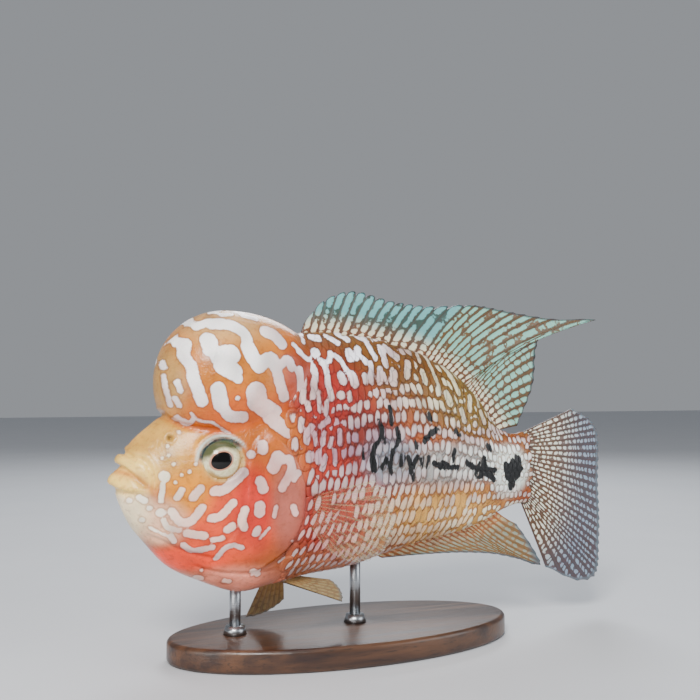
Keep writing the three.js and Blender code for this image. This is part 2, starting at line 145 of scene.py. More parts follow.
# %% Camera
VIEW_AZIMUTH = math.radians(-22)
VIEW_ELEVATION = math.radians(4)
VIEW_DISTANCE = 350
FOCAL_PIXELS = 930
PICTURE_PIXELS = 700
SENSOR_MM = 36
AIM = np.array([2.0, 0, AXIS_HEIGHT + 39.3])

camera_data = bpy.data.cameras.new("camera")
camera_data.sensor_width = SENSOR_MM
camera_data.lens = FOCAL_PIXELS / PICTURE_PIXELS * SENSOR_MM
camera_data.clip_start = 0.01
camera = bpy.data.objects.new("camera", camera_data)
bpy.context.scene.collection.objects.link(camera)
flat = math.cos(VIEW_ELEVATION)
back = np.array([math.sin(VIEW_AZIMUTH) * flat, -math.cos(VIEW_AZIMUTH) * flat, math.sin(VIEW_ELEVATION)])
eye_point = np.array([0, 0, AXIS_HEIGHT]) + VIEW_DISTANCE * back
camera.location = Vector(eye_point * MM)
camera.rotation_euler = Vector((AIM - eye_point) * MM).to_track_quat("-Z", "Y").to_euler()
bpy.context.scene.camera = camera
print("camera at", [round(v, 3) for v in camera.location], "lens", round(camera_data.lens, 1))

# %% [markdown]
# ## Helpers for meshes
# Numpy moves many points at once, which suits a skin of fifty thousand of them. The shapes still start
# from bmesh's own sphere, grid, circle and cylinder, and these helpers only carry points in and out.


# %% Points in and out of meshes
def points_of(mesh):
    flat_list = np.empty(len(mesh.vertices) * 3)
    mesh.vertices.foreach_get("co", flat_list)
    return flat_list.reshape(-1, 3)


def set_points(mesh, points):
    mesh.vertices.foreach_set("co", np.ascontiguousarray(points, dtype=float).ravel())
    mesh.update()


def normals_of(mesh):
    flat_list = np.empty(len(mesh.vertices) * 3)
    mesh.vertex_normals.foreach_get("vector", flat_list)
    return flat_list.reshape(-1, 3)


def edges_of(mesh):
    flat_list = np.empty(len(mesh.edges) * 2, dtype=np.int64)
    mesh.edges.foreach_get("vertices", flat_list)
    return flat_list.reshape(-1, 2)


def store(mesh, name, values):
    """Keeps one number for each point, or a colour where values has three columns."""
    values = np.asarray(values, float)
    if values.ndim == 1:
        layer = mesh.attributes.new(name, "FLOAT", "POINT")
        layer.data.foreach_set("value", values)
    else:
        layer = mesh.attributes.new(name, "FLOAT_COLOR", "POINT")
        layer.data.foreach_set("color", np.c_[values, np.ones(len(values))].ravel())


def to_mesh(name, bm, outward=True):
    """outward is for a closed form. The volume settles it where a form is thin, such as a fin."""
    if outward:
        bmesh.ops.recalc_face_normals(bm, faces=bm.faces[:])
        if bm.calc_volume(signed=True) < 0:
            bmesh.ops.reverse_faces(bm, faces=bm.faces[:])
    mesh = bpy.data.meshes.new(name)
    bm.to_mesh(mesh)
    bm.free()
    return mesh


def piece(name, mesh, material, slot, *nodes):
    """Puts a finished mesh into the scene as a piece of the fish or its stand."""
    mesh.shade_smooth()
    mesh.materials.clear()
    mesh.materials.append(material)
    made = bpy.data.objects.new(name, mesh)
    bpy.context.scene.collection.objects.link(made)
    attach(made, "root")
    if nodes:
        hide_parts(*nodes)
    mesh.calc_loop_triangles()
    print(name, len(mesh.loop_triangles), "triangles")
    return made


def globe(name, rounds, rings, at):
    """A sphere whose points go where at(around, along) says, both running from 0 to 1."""
    bm = bmesh.new()
    bmesh.ops.create_uvsphere(bm, u_segments=rounds, v_segments=rings, radius=1)
    unit = np.array([v.co for v in bm.verts])
    around = np.arctan2(unit[:, 1], unit[:, 0]) / (2 * math.pi) % 1
    along = np.arccos(np.clip(-unit[:, 2], -1, 1)) / math.pi
    for vertex, point in zip(bm.verts, at(around, along)):
        vertex.co = point
    return to_mesh(name, bm)


# %% [markdown]
# ## Forms of the flesh
# Four closed forms make the body: the loft, the egg-shaped hump, and two horseshoe lips. They are the
# solids of the frame with the same sizes, drawn finer. Joined and remeshed with small voxels they
# become one skin, so no seam shows where hump meets nape, which modelling one cage by hand would also
# give but with far more work at the brow.

# %% Body, hump and lips
SNOUT_X = -85
STEM_END_X = 82
SNOUT_CAP = 7
STEM_CAP = 2.5
COAT_DEPTH = 0.2
HUMP = dict(x=-46, z=27, front=25.4, rear=36, half=20.4, height=25.6, power=2.06)
MOUTH = dict(x=-70.5, z=-11.2, half=11.4)
# Each lip: x and z of its front, its radius, and how far its ends lie above the corners of the mouth
LIPS = dict(upper=(-81.8, 0.2, 2.7, 1.4), lower=(-83.6, -6.4, 2.9, -1.7))


def body_at(around, along):
    """The loft through the stations, rounded off at the snout and the tail stem."""
    start, end = SNOUT_X + COAT_DEPTH, STEM_END_X - COAT_DEPTH
    x = start + (end - start) * (0.5 - 0.5 * np.cos(math.pi * along**0.94))
    nose = np.clip((x - start) / SNOUT_CAP, 0, 1)
    tail = np.clip((end - x) / STEM_CAP, 0, 1)
    cap = np.sqrt(np.clip(1 - (1 - nose) ** 2, 0, 1) * np.clip(1 - (1 - tail) ** 2, 0, 1))
    side, up = np.cos(2 * math.pi * around), np.sin(2 * math.pi * around)
    widest = through(STATION_X, WIDEST, x)
    above = up > 0
    reach = np.where(above, through(STATION_X, BACK, x) - widest, widest - through(STATION_X, BELLY, x))
    half = (through(STATION_X, HALF, x) - COAT_DEPTH) * cap
    exponent = np.where(above, BACK_POWER, BELLY_POWER)
    return place(x, half * power(side, exponent), widest + (reach - COAT_DEPTH) * cap * up)


def hump_at(around, along):
    """An egg with a blunt front and a longer rear."""
    turn, tilt = 2 * math.pi * around, math.pi * (along - 0.5)
    blunt = 2 / HUMP["power"]
    level = power(np.cos(tilt), blunt)
    ahead = power(np.cos(turn), blunt) * level
    reach = np.where(ahead < 0, HUMP["front"], HUMP["rear"])
    y = power(np.sin(turn), blunt) * level * HUMP["half"]
    return place(HUMP["x"] + ahead * reach, y, HUMP["z"] + power(np.sin(tilt), blunt) * HUMP["height"])


def in_hump(x, y, z):
    """Below 1 inside the hump, above 1 outside it."""
    ahead = (x - HUMP["x"]) / np.where(x < HUMP["x"], HUMP["front"], HUMP["rear"])
    return ahead**2 + (y / HUMP["half"]) ** 2 + ((z - HUMP["z"]) / HUMP["height"]) ** 2


def lip_at(lip):
    """A horseshoe that runs from one corner of the mouth round the front to the other."""
    front_x, front_z, radius, corner_lift = LIPS[lip]

    def at(around, along):
        across = 2 * along - 1
        back_way = across**2
        x = front_x + (MOUTH["x"] - front_x) * back_way
        z = front_z + (MOUTH["z"] + corner_lift - front_z) * back_way
        thick = radius * np.sqrt(np.clip(1 - across**6, 0, 1)) * (1 - 0.35 * back_way)
        slope = 2 * (MOUTH["x"] - front_x) * across
        length = np.hypot(MOUTH["half"], slope)
        out = thick * np.cos(2 * math.pi * around)
        y = MOUTH["half"] * across + out * slope / length
        return place(x - out * MOUTH["half"] / length, y, z + thick * np.sin(2 * math.pi * around))

    return at


forms = [
    globe("body form", 96, 110, body_at),
    globe("hump form", 72, 48, hump_at),
    globe("upper lip form", 24, 64, lip_at("upper")),
    globe("lower lip form", 24, 64, lip_at("lower")),
]

# %% One skin over the forms
SKIN_VOXEL = 0.7
whole = bmesh.new()
for form in forms:
    whole.from_mesh(form)
rough = bpy.data.objects.new("rough skin", to_mesh("rough skin", whole, outward=False))
bpy.context.scene.collection.objects.link(rough)
remesh = rough.modifiers.new("one skin", "REMESH")
remesh.mode = "VOXEL"
remesh.voxel_size = SKIN_VOXEL * MM
bpy.context.view_layer.update()
skin = bpy.data.meshes.new_from_object(rough.evaluated_get(bpy.context.evaluated_depsgraph_get()))
skin.name = "skin"
bpy.data.objects.remove(rough)
print("skin of", len(skin.vertices), "points")


# %% Smooth the seams between the forms
# Each second step pushes the points back out, so that the form keeps its size
IN_STEP, OUT_STEP = 0.5, -0.53
ALL_OVER_ROUNDS = 8
NAPE_ROUNDS = 24


def relax(points, edges, rounds, amount):
    """Draws each point to the middle of its neighbours, by its own amount, without shrinking much."""
    count = np.bincount(edges.ravel(), minlength=len(points))[:, None]
    for step in range(rounds):
        total = np.zeros_like(points)
        for axis in range(3):
            total[:, axis] = np.bincount(edges[:, 0], points[edges[:, 1], axis], len(points))
            total[:, axis] += np.bincount(edges[:, 1], points[edges[:, 0], axis], len(points))
        pull = total / count - points
        points = points + pull * (OUT_STEP if step % 2 else IN_STEP) * amount[:, None]
    return points


edges = edges_of(skin)
points = points_of(skin)
points = relax(points, edges, ALL_OVER_ROUNDS, np.ones(len(points)))
x, y, z = unplace(points)
nape = ease(-44, -32, x) * ease(6, 14, z) * (1 - ease(2, 12, x))
for _ in range(NAPE_ROUNDS):
    points = relax(points, edges, 1, nape)
set_points(skin, points)
print(np.count_nonzero(nape > 0.5), "points of the nape smoothed further")

# %% [markdown]
# ## Lines on the head
# The head is not smooth: a gill cover with a thin rear edge, a fold behind the upper lip, a jaw fold
# under the cheek, a raised rim round the eye and a nostril. Each is a line or a point seen from the
# side, and the skin is pushed in or out by its distance to it, as a sculptor draws with a tool.


# %% Distances to lines
def smooth_line(points, steps=8):
    """A finer run of points on a curve through a few given ones."""
    points = np.array(points, float)
    if len(points) < 3:
        return points
    t = np.arange(len(points), dtype=float)
    fine = np.linspace(0, len(points) - 1, steps * (len(points) - 1) + 1)
    return np.c_[through(t, points[:, 0], fine), through(t, points[:, 1], fine)]


def line_distance(line, x, z):
    """Distance of each x, z to a run of points, its side, above 0 on the left, and the share along it."""
    best = np.full(np.shape(x), 1e9)
    side = np.zeros(np.shape(x))
    way = np.zeros(np.shape(x))
    for k, (a, b) in enumerate(zip(line[:-1], line[1:])):
        dx, dz = b - a
        t = np.clip(((x - a[0]) * dx + (z - a[1]) * dz) / (dx * dx + dz * dz + 1e-12), 0, 1)
        gap = np.hypot(x - a[0] - t * dx, z - a[1] - t * dz)
        nearer = gap < best
        best = np.where(nearer, gap, best)
        side = np.where(nearer, np.sign(dx * (z - a[1]) - dz * (x - a[0])), side)
        way = np.where(nearer, (k + t) / (len(line) - 1), way)
    return best, side, way


# %% The head's lines and folds, seen from the side
GILL_REAR = smooth_line([
    (-36.5, 12), (-29.5, 5), (-24.4, -3.4), (-22.8, -12),
    (-23.6, -21), (-27.6, -29.4), (-35, -35.4), (-43, -39),
])
GILL_FRONT = smooth_line([(-38.4, 10.6), (-42.6, 1), (-43.4, -12), (-46.5, -23), (-52, -30.6)])
LIP_FOLD = smooth_line([(-87, 5), (-83, 4), (-79.5, 2), (-76, 0.5), (-74, -3), (-73, -7), (-73.5, -11)])
MOUTH_SLIT = smooth_line([(-88, -1.2), (-85, -1.5), (-83, -2), (-80.5, -4), (-77.5, -6.5), (-74.5, -9)])
CHIN_FOLD = smooth_line([(-88, -8), (-85.5, -8.8), (-83, -10), (-80, -10.4), (-76.5, -10.6), (-74, -12)])
JAW_FOLD = smooth_line([(-76, -24), (-70.5, -26), (-66, -28.5), (-59.5, -31), (-49.5, -33.5)])
GULAR_FOLD = smooth_line([(-62, -34), (-52, -37.5), (-41, -38.5), (-29.5, -38)])
BROW_FOLD = smooth_line([
    (-71, 17), (-69, 16), (-67.5, 14.5), (-64, 12.5), (-58.5, 11.5), (-51.5, 10.5), (-45, 8),
])
# Each fold: its line, depth, width, the swell beside it, and the shares over which it starts and ends
FOLDS = [
    (LIP_FOLD, 1.0, 0.75, 0.5, 0.0, 0.2),
    (MOUTH_SLIT, 1.5, 0.8, 0.0, 0.0, 0.15),
    (CHIN_FOLD, 0.7, 0.9, 0.3, 0.0, 0.3),
    (JAW_FOLD, 0.6, 0.7, 0.45, 0.2, 0.2),
    (GULAR_FOLD, 0.35, 0.6, 0.25, 0.2, 0.2),
    (BROW_FOLD, 0.9, 0.9, 0.35, 0.1, 0.3),
]
SWELL_AWAY, SWELL_WIDTH = 1.5, 1.1
NOSTRIL = (-67.6, 8.2)
EYE = dict(x=-51, z=0.3, radius=7.4, depth=5.6, middle=14.2)
EYE_SIDE = 8
SOCKET = dict(radius=5.9, behind=1.4)
print(len(FOLDS), "folds, and the gill cover's two edges")


# %% Sculpt the head
def carve(mesh, lift):
    """Moves each point along its normal by lift(x, y, z) in millimetres."""
    points = points_of(mesh)
    x, y, z = unplace(points)
    set_points(mesh, points + normals_of(mesh) * (lift(x, y, z) * MM)[:, None])


def gill_lift(x, y, z):
    """The thin rear edge of the gill cover, the groove behind it, and the edge of the cheek."""
    gap, side, way = line_distance(GILL_REAR, x, z)
    inside = gap * np.where(side < 0, 1, -1)
    fade = ease(0, 0.08, way) * (1 - ease(0.9, 1, way))
    flap = 0.95 * ease(-0.3, 0.35, inside) * (1 - 0.8 * ease(1, 13, inside)) * (inside > -3)
    groove = 0.5 * np.exp(-(((inside + 0.9) / 0.6) ** 2))
    gap, side, way = line_distance(GILL_FRONT, x, z)
    edge = gap * np.where(side < 0, 1, -1)
    cheek_edge = 0.35 * np.exp(-((edge + 0.9) ** 2)) - 0.4 * np.exp(-(((edge - 0.3) / 0.7) ** 2))
    cheek_edge = cheek_edge * ease(0, 0.15, way) * (1 - ease(0.85, 1, way))
    return ((flap - groove) * fade + cheek_edge) * (np.abs(y) > 5)


def fold_lift(x, y, z):
    """Each fold a groove with a low swell on one side."""
    total = np.zeros(np.shape(x))
    for line, depth, width, swell, starts, ends in FOLDS:
        gap, side, way = line_distance(line, x, z)
        fade = ease(-0.01, starts, way) * (1 - ease(1 - ends, 1, way))
        beside = np.exp(-(((gap * side - SWELL_AWAY) / SWELL_WIDTH) ** 2))
        total += fade * (swell * beside - depth * np.exp(-((gap / width) ** 2)))
    return total


def eye_lift(x, y, z):
    """The rim round the eye, higher above it, with a moat outside, and the nostril."""
    out = np.hypot(x - EYE["x"], z - EYE["z"])
    upper = ease(0.0, 0.8, (z - EYE["z"]) / (out + 1e-6)) * (0.6 + 0.4 * ease(4, -4, x - EYE["x"]))
    rim = 0.5 * np.exp(-(((out - 6.9) / 0.8) ** 2)) + 0.75 * upper * np.exp(-(((out - 7.7) / 0.9) ** 2))
    moat = 0.4 * np.exp(-(((out - 9.6) / 0.8) ** 2)) * upper
    nose_gap = np.hypot(x - NOSTRIL[0], z - NOSTRIL[1])
    nostril = 0.35 * np.exp(-(((nose_gap - 1.5) / 0.5) ** 2)) - 1.2 * np.exp(-((nose_gap / 0.8) ** 2))
    return (rim - moat) * (np.abs(y) > EYE_SIDE) + nostril * (np.abs(y) > 3)


for lift in (gill_lift, fold_lift, eye_lift):
    carve(skin, lift)

# %% The eye sockets: inside the rim the skin drops behind the eyeball
points = points_of(skin)
x, y, z = unplace(points)
out = np.hypot(x - EYE["x"], z - EYE["z"])
ball = EYE["middle"] + EYE["depth"] * np.sqrt(np.clip(1 - (out / EYE["radius"]) ** 2, 0, 1))
in_socket = (np.abs(y) > EYE_SIDE) & (out < SOCKET["radius"])
y = np.where(in_socket, np.sign(y) * np.minimum(np.abs(y), ball - SOCKET["behind"]), y)
set_points(skin, place(x, y, z))
print("the sockets take", np.count_nonzero(in_socket), "points of the skin")

# %% [markdown]
# ## The paint
# A live flowerhorn's ground colour changes by zone: tan and orange hump, cream lips, red cheek and
# shoulder, golden back, a silver band along the flank. Over it lie white worm-like marks on the head,
# one pearl on each scale, and black blotches on the band. Zones are soft ellipses laid one over another,
# marks are short strokes with a width. Both are worked out at each point and kept as attributes, so
# skin and scales carry the same markings, and the shader only sharpens their edges.


# %% Colours
def tone(code):
    """Linear red, green and blue from an sRGB hex value."""
    parts = np.array([int(code[k : k + 2], 16) / 255 for k in (1, 3, 5)])
    return np.where(parts <= 0.04045, parts / 12.92, ((parts + 0.055) / 1.055) ** 2.4)


# Each zone: sRGB colour, middle x and z, reach in x and z, and how soft its edge is
GROUND = [
    ("#9c4a1c", 0, 0, 400, 400, 0.1),
    ("#704616", 24, 40, 66, 26, 0.5),
    ("#7a5a1a", 54, 18, 30, 18, 0.6),
    ("#94221a", -14, 12, 24, 30, 0.5),
    ("#76281e", 2, 6, 14, 14, 0.6),
    ("#a63022", -12, -16, 22, 22, 0.5),
    ("#c47a5c", 4, -38, 36, 9, 0.7),
    ("#d8a050", 38, -24, 34, 15, 0.7),
    ("#7c8494", 10, -1, 12, 11, 0.6),
    ("#a09c98", 42, -4, 40, 9, 0.5),
    ("#8a5222", 80, 0, 6, 18, 0.6),
    ("#e4e8de", 69, -8, 11.5, 11, 0.35),
    ("#b45e14", -47, 10, 26, 14, 0.4),
    ("#b45c1e", -34, 0, 14, 14, 0.5),
    ("#d69030", -63, 2, 18, 15, 0.5),
    ("#d09e48", -74, 6, 13, 12, 0.5),
    ("#de4a22", -50, -22, 20, 15, 0.5),
    ("#c62c1c", -41, -15, 9, 17, 0.6),
    ("#e08a0c", -63, -11, 9, 9, 0.8),
    ("#f4c09c", -72, -20, 11, 9, 0.6),
    ("#fce6bc", -81, -17, 8, 13, 0.6),
    ("#f8ce6c", -80, -4, 9.5, 8, 0.4),
    ("#f2441c", -63, -33, 17, 5.5, 0.6),
    ("#f0937a", -46, -42, 22, 7, 0.7),
    ("#aa5a4a", -29, -14, 7, 19, 0.6),
]
HUMP_GROUND = [
    ("#bf7020", -46, 27, 60, 60, 0.1),
    ("#c6560e", -42, 12, 26, 15, 0.6),
    ("#c6985c", -52, 50, 24, 13, 0.7),
    ("#b48a4c", -70, 28, 8, 18, 0.6),
    ("#a63a12", -24, 26, 10, 20, 0.7),
]
PALE = [
    ("#c0a09c", 0, 0, 400, 400, 0.1),
    ("#fffaf8", -54, 38, 24, 24, 0.5),
    ("#dcb4ac", -34, 16, 14, 16, 0.6),
    ("#f6e6c4", -70, 0, 12, 14, 0.6),
    ("#fff2dc", -76, -18, 13, 13, 0.6),
    ("#f4c4b4", -48, -40, 16, 7, 0.6),
    ("#f4c8b4", -54, -17, 16, 13, 0.6),
    ("#dea69c", -32, -14, 10, 18, 0.6),
    ("#ae7e8a", -14, 6, 12, 16, 0.6),
    ("#8f6a7a", 2, 4, 16, 12, 0.6),
    ("#d88e8c", -8, -24, 22, 14, 0.6),
    ("#fdf4fc", -8, 40, 24, 13, 0.5),
    ("#8a8894", 14, -1, 16, 9, 0.6),
    ("#d2c69e", 48, 26, 34, 18, 0.6),
    ("#d8d4ce", 42, -3, 20, 8, 0.6),
    ("#fbfff8", 66, -6, 18, 12, 0.5),
    ("#deb68c", 26, -24, 34, 14, 0.7),
    ("#fff0cc", 60, -26, 26, 9, 0.6),
]


def lay(colour, share, code):
    """Colours with a tone laid over them, by a share at each point."""
    share = share[:, None]
    return colour * (1 - share) + tone(code) * share


def zoned(zones, x, z):
    """The colour at each place, where every zone lies over the ones listed before it."""
    colour = np.zeros((len(x), 3))
    for code, at_x, at_z, reach_x, reach_z, soft in zones:
        out = np.hypot((x - at_x) / reach_x, (z - at_z) / reach_z)
        colour = lay(colour, 1 - ease(1 - soft, 1 + soft * 0.35, out), code)
    return colour


print(len(GROUND), "zones of ground colour,", len(PALE), "of pale colour")


# %% Strokes, each a half width and the places it runs through
HUMP_STROKES = [
    (1.4, [(-59, 46), (-54.5, 47.5)]),
    (2.0, [(-54.5, 47), (-48, 46.5), (-43.5, 43.5), (-43, 39)]),
    (2.6, [(-43, 39), (-41.5, 35.5), (-39.5, 32.5)]),
    (2.4, [(-39.5, 32.5), (-35, 35), (-33, 32)]),
    (2.0, [(-33, 32), (-32, 27.5), (-30, 22)]),
    (1.5, [(-31.5, 32.5), (-28.5, 35), (-27, 32)]),
    (2.2, [(-35.5, 44.5), (-32.5, 43.5), (-30, 40.5)]),
    (1.0, [(-49.5, 50.6), (-46.5, 51)]),
    (1.1, [(-42, 50.5), (-37.5, 49.5)]),
    (2.7, [(-56, 41), (-55.5, 38)]),
    (3.6, [(-52.5, 35.5), (-49.5, 36)]),
    (3.0, [(-52, 32.5), (-48.5, 30.5)]),
    (1.7, [(-47.5, 29), (-47, 28)]),
    (1.8, [(-65.5, 40.5), (-63, 40)]),
    (1.8, [(-63, 39.5), (-64, 36), (-62, 32.5), (-61.5, 29.5)]),
    (1.9, [(-61.5, 29), (-60.5, 26), (-58.5, 20.5)]),
    (2.5, [(-53.5, 24.5), (-52.5, 19.5)]),
    (1.9, [(-51.5, 18), (-49, 15.5), (-44.5, 15)]),
    (3.6, [(-40.5, 23.5), (-40, 20.5)]),
    (3.1, [(-38, 18.5), (-34, 16.5), (-32, 13.5)]),
    (1.4, [(-34, 12), (-36.5, 10), (-41, 9), (-44.5, 8.5)]),
    (0.45, [(-61.5, 16.5), (-59, 14), (-54.5, 13.2), (-49.5, 10), (-46, 8.5)]),
    (1.0, [(-70, 34), (-69.5, 32)]),
    (0.7, [(-69.5, 29), (-69, 25), (-67.5, 19)]),
    (0.9, [(-66, 27), (-65, 24)]),
    (0.8, [(-66.5, 21.5), (-65, 19)]),
    (0.9, [(-65.5, 15), (-62, 13), (-60.5, 14.5)]),
    (1.7, [(-23.5, 31), (-23, 26), (-23.5, 20.5)]),
    (1.2, [(-26.5, 19.5), (-26, 15.5)]),
    (0.9, [(-47, 21.5)]),
]
NAPE_STROKES = [
    (0.9, [(-19, 43.5), (-19.5, 41.5)]),
    (0.8, [(-25, 40.5), (-22, 37.5)]),
    (0.9, [(-23.5, 38), (-18.5, 35), (-15.5, 38.5)]),
    (0.8, [(-27, 35), (-24.5, 30)]),
    (0.5, [(-27, -27.5), (-23.5, -29)]),
    (0.5, [(-24.5, -31.5), (-21, -30)]),
    (0.6, [(-19.5, -22), (-20, -26.5)]),
    (0.5, [(-27.5, -33), (-30.5, -35)]),
    (0.7, [(-37.5, -37.5), (-39.5, -39)]),
]
HEAD_STROKES = [
    (1.8, [(-38, 5.5), (-38, 4)]),
    (2.2, [(-33, 1.5), (-34.5, -2)]),
    (1.5, [(-31.5, 0.5), (-29, 0.5), (-28.5, -3.5), (-31.5, -9)]),
    (1.8, [(-39, -6.5), (-38, -9)]),
    (1.9, [(-39, -15), (-39, -17)]),
    (1.4, [(-39.5, -23), (-40, -24)]),
    (1.5, [(-42, 2.5)]),
    (2.5, [(-35, 15), (-32, 12.5), (-28.5, 10)]),
    (1.4, [(-27.5, 9.5), (-25, 5.5), (-23.5, 3.5)]),
    (1.2, [(-26, -4), (-27.5, -6)]),
    (1.1, [(-27.5, -15.5), (-26.5, -18)]),
    (0.8, [(-33.5, -15.5), (-34, -18.5)]),
    (0.5, [(-38.5, -26), (-35.5, -22.5)]),
    (1.0, [(-40, -37.5), (-37.5, -39)]),
    (1.9, [(-70, -4.5)]),
    (0.9, [(-70.5, -7), (-71, -12.5)]),
    (1.1, [(-64.5, -9), (-66, -11.5)]),
    (1.4, [(-58.5, -8.5), (-61, -11.5)]),
    (1.7, [(-54, -9.5), (-51, -9), (-44.5, -3.5)]),
    (1.4, [(-67.5, -16), (-65, -19.5), (-61.5, -19.5), (-58, -15)]),
    (1.4, [(-55, -18.5), (-52, -18), (-48, -13.5)]),
    (1.4, [(-44, -16), (-45, -19.5), (-44, -22)]),
    (1.4, [(-49.5, -22.5), (-48, -21.5)]),
    (0.9, [(-70, -19), (-68.5, -21.5), (-65, -22.5)]),
    (1.4, [(-62.5, -23.5), (-57, -24.5)]),
    (1.0, [(-67.5, -24.5), (-66.5, -26)]),
    (1.0, [(-54, -26), (-51, -25.5)]),
    (1.0, [(-63.5, -27.5), (-60, -29.5), (-54, -28.5)]),
    (0.9, [(-52.5, -32.5), (-50, -29), (-47.5, -28), (-44.5, -29)]),
    (1.5, [(-71, -16.5)]),
    (1.1, [(-77.5, -11.5), (-76, -12.5)]),
    (1.0, [(-80.5, -12.5)]),
    (1.0, [(-74.5, -15)]),
    (0.9, [(-76.5, -19)]),
    (0.5, [(-74, -21.5), (-71.5, -23), (-68, -24.5)]),
    (1.1, [(-57.5, -40), (-56, -40.5)]),
    (0.9, [(-48.5, -41), (-47, -41.5)]),
]
FLANK_STROKES = [
    (1.5, [(-15.5, 43.5), (-13, 43)]),
    (1.1, [(-9.5, 44), (-6, 41.5)]),
    (1.4, [(-4, 45), (-1.5, 43)]),
    (0.9, [(1.5, 46.5), (4, 43.5)]),
    (1.1, [(6.5, 45), (6.5, 41), (8, 36)]),
    (2.1, [(-16, 37.5)]),
    (1.4, [(-20.5, 35.5), (-18.5, 33.5), (-17.5, 30), (-18, 27), (-19, 22)]),
    (1.3, [(-14.5, 35), (-13, 31.5), (-13, 27.5), (-12.5, 24), (-12, 21)]),
    (1.2, [(-13, 34), (-11, 35), (-10, 37.5)]),
    (1.0, [(-10, 37.5), (-7, 35.5), (-5, 31.5), (-3.5, 30)]),
    (1.6, [(-3, 29.5), (-2.5, 26.5)]),
    (1.6, [(-7.5, 29.5), (-7, 27.5)]),
    (1.7, [(-8.5, 22.5)]),
    (0.8, [(-5, 23.5), (-5, 20.5)]),
    (1.7, [(-2.5, 38), (-2.5, 36)]),
    (1.3, [(0, 36), (1.5, 39.5)]),
    (1.1, [(2.5, 36), (4, 34)]),
    (1.0, [(5.5, 34), (4.5, 27)]),
    (1.1, [(2, 29.5), (2, 27)]),
    (1.1, [(9, 32), (8, 27)]),
    (0.9, [(10, 30), (11, 27)]),
    (1.3, [(11.5, 40), (12, 33.5)]),
    (1.6, [(14, 40), (17.5, 36.5)]),
    (1.6, [(14.5, 31), (14, 27)]),
    (1.4, [(22, 34.5), (20.5, 29.5)]),
    (1.4, [(-22.5, 31), (-22, 27.5), (-23, 20.5)]),
    (1.0, [(-17, 23.5), (-17, 17)]),
    (1.3, [(-21.5, 19.5), (-21, 17.5)]),
    (1.1, [(-14, 20), (-15, 16)]),
    (1.3, [(-14, 14), (-17, 11.5)]),
    (1.3, [(-24, 14), (-24.5, 10.5)]),
    (1.5, [(-20.5, 11.5), (-22, 9.5), (-22.5, 6.5)]),
    (1.1, [(-19.5, 9), (-19, 5.5)]),
    (1.1, [(-16, 9.5), (-16.5, 5.5)]),
    (1.0, [(-13, 7.5), (-14, 4.5)]),
    (1.1, [(-10, 10), (-10, 5.5)]),
    (1.6, [(-21.5, 2), (-21.5, 0.5)]),
    (1.3, [(-18, 3), (-18.5, -0.5)]),
    (1.3, [(-15.5, 1), (-17, -3)]),
    (1.1, [(-12, 3), (-12, -1.5)]),
    (0.8, [(28.5, 40), (28, 35)]),
    (0.8, [(32.5, 40.5), (32.5, 35), (33.5, 30.5), (34.5, 26)]),
    (1.1, [(36, 39.5), (39, 35.5), (41, 31.5), (43, 28), (44.5, 23)]),
    (0.8, [(43, 36.5), (47, 33), (50.5, 30.5), (52, 27.5), (53.5, 24.5)]),
    (0.9, [(55.5, 22.5), (55, 18)]),
    (1.2, [(50.5, 21.5), (49, 16.5)]),
    (1.2, [(44.5, 16.5), (45.5, 12.5)]),
    (1.2, [(51, 11)]),
    (1.1, [(55.5, 15.5), (56.5, 11.5)]),
    (1.3, [(28, 31), (28.5, 27.5)]),
    (1.2, [(34, 25), (34, 23)]),
    (1.7, [(38, 22.5), (39, 19.5)]),
]
DOT_HALF = 0.65
DOTS = [
    (-64.5, -4), (-62, -3), (-68.5, 5.5), (-70.5, 1.5), (-68.5, 2.5),
    (-67, -0.5), (-66.5, -6.5), (-64.8, 10), (-60, -0.5), (-56.5, -37),
]
BLACK_STROKES = [
    (2.4, [(71, -5.5), (70.5, -8.5)]),
    (1.9, [(67.2, -6), (68, -10)]),
    (1.8, [(73.4, -3.4), (74, -7), (72.4, -10)]),
    (1.1, [(74.5, -7), (76, -7.4)]),
    (1.8, [(70.2, -10), (70, -13.6)]),
    (1.1, [(45.5, -3.5), (49.5, -5.5), (56, -7), (61.5, -7)]),
    (1.1, [(54.5, -2.5), (55, -7), (60, -11)]),
    (0.9, [(51.5, -9.5), (55, -8.5)]),
    (1.0, [(30, -3), (33, -4.5), (41, -5)]),
    (0.8, [(39.5, 1.5), (39, -2)]),
    (0.9, [(17.5, 0), (19, -2.5), (19.5, -5.5)]),
    (0.9, [(22, -0.5), (20.5, -3.5)]),
    (0.7, [(24, -0.5), (24, -3.5)]),
    (0.7, [(27, -0.5), (26.5, -4)]),
    (0.8, [(20.5, -6.5), (21, -8.5)]),
    (0.9, [(34, -3), (37, -4)]),
    (0.8, [(52, -4), (50, -8)]),
    (0.9, [(56, -5), (59, -9)]),
    (0.5, [(15.5, 2), (15, -3)]),
    (1.0, [(21.5, 5), (22, 3.5)]),
    (1.1, [(25.5, 5.5), (28.5, 8), (31.5, 9.5)]),
    (0.9, [(28, 15), (28.5, 13)]),
    (0.9, [(41, 8.5), (42, 7)]),
    (1.0, [(57, 2.5), (58.5, 1)]),
    (0.8, [(6, 13.5), (7, 10), (6.5, 8)]),
    (0.9, [(6, 6.5), (3, 2), (3.5, -4.5)]),
    (0.8, [(11, 18), (11.5, 11.5)]),
    (0.8, [(13.5, 10), (14, 6), (12, 3)]),
    (0.9, [(11.5, 2), (10.5, -1.5), (11, -5.5)]),
    (1.0, [(8.5, -0.5), (6.5, -3.5)]),
    (0.6, [(8.5, 7), (8.5, 5)]),
    (0.5, [(-0.5, 3.5), (-1, 0)]),
]
PALE_MARKS = (HUMP_STROKES, NAPE_STROKES, HEAD_STROKES, FLANK_STROKES, DOTS)
print(sum(len(marks) for marks in PALE_MARKS), "pale marks,", len(BLACK_STROKES), "black ones")


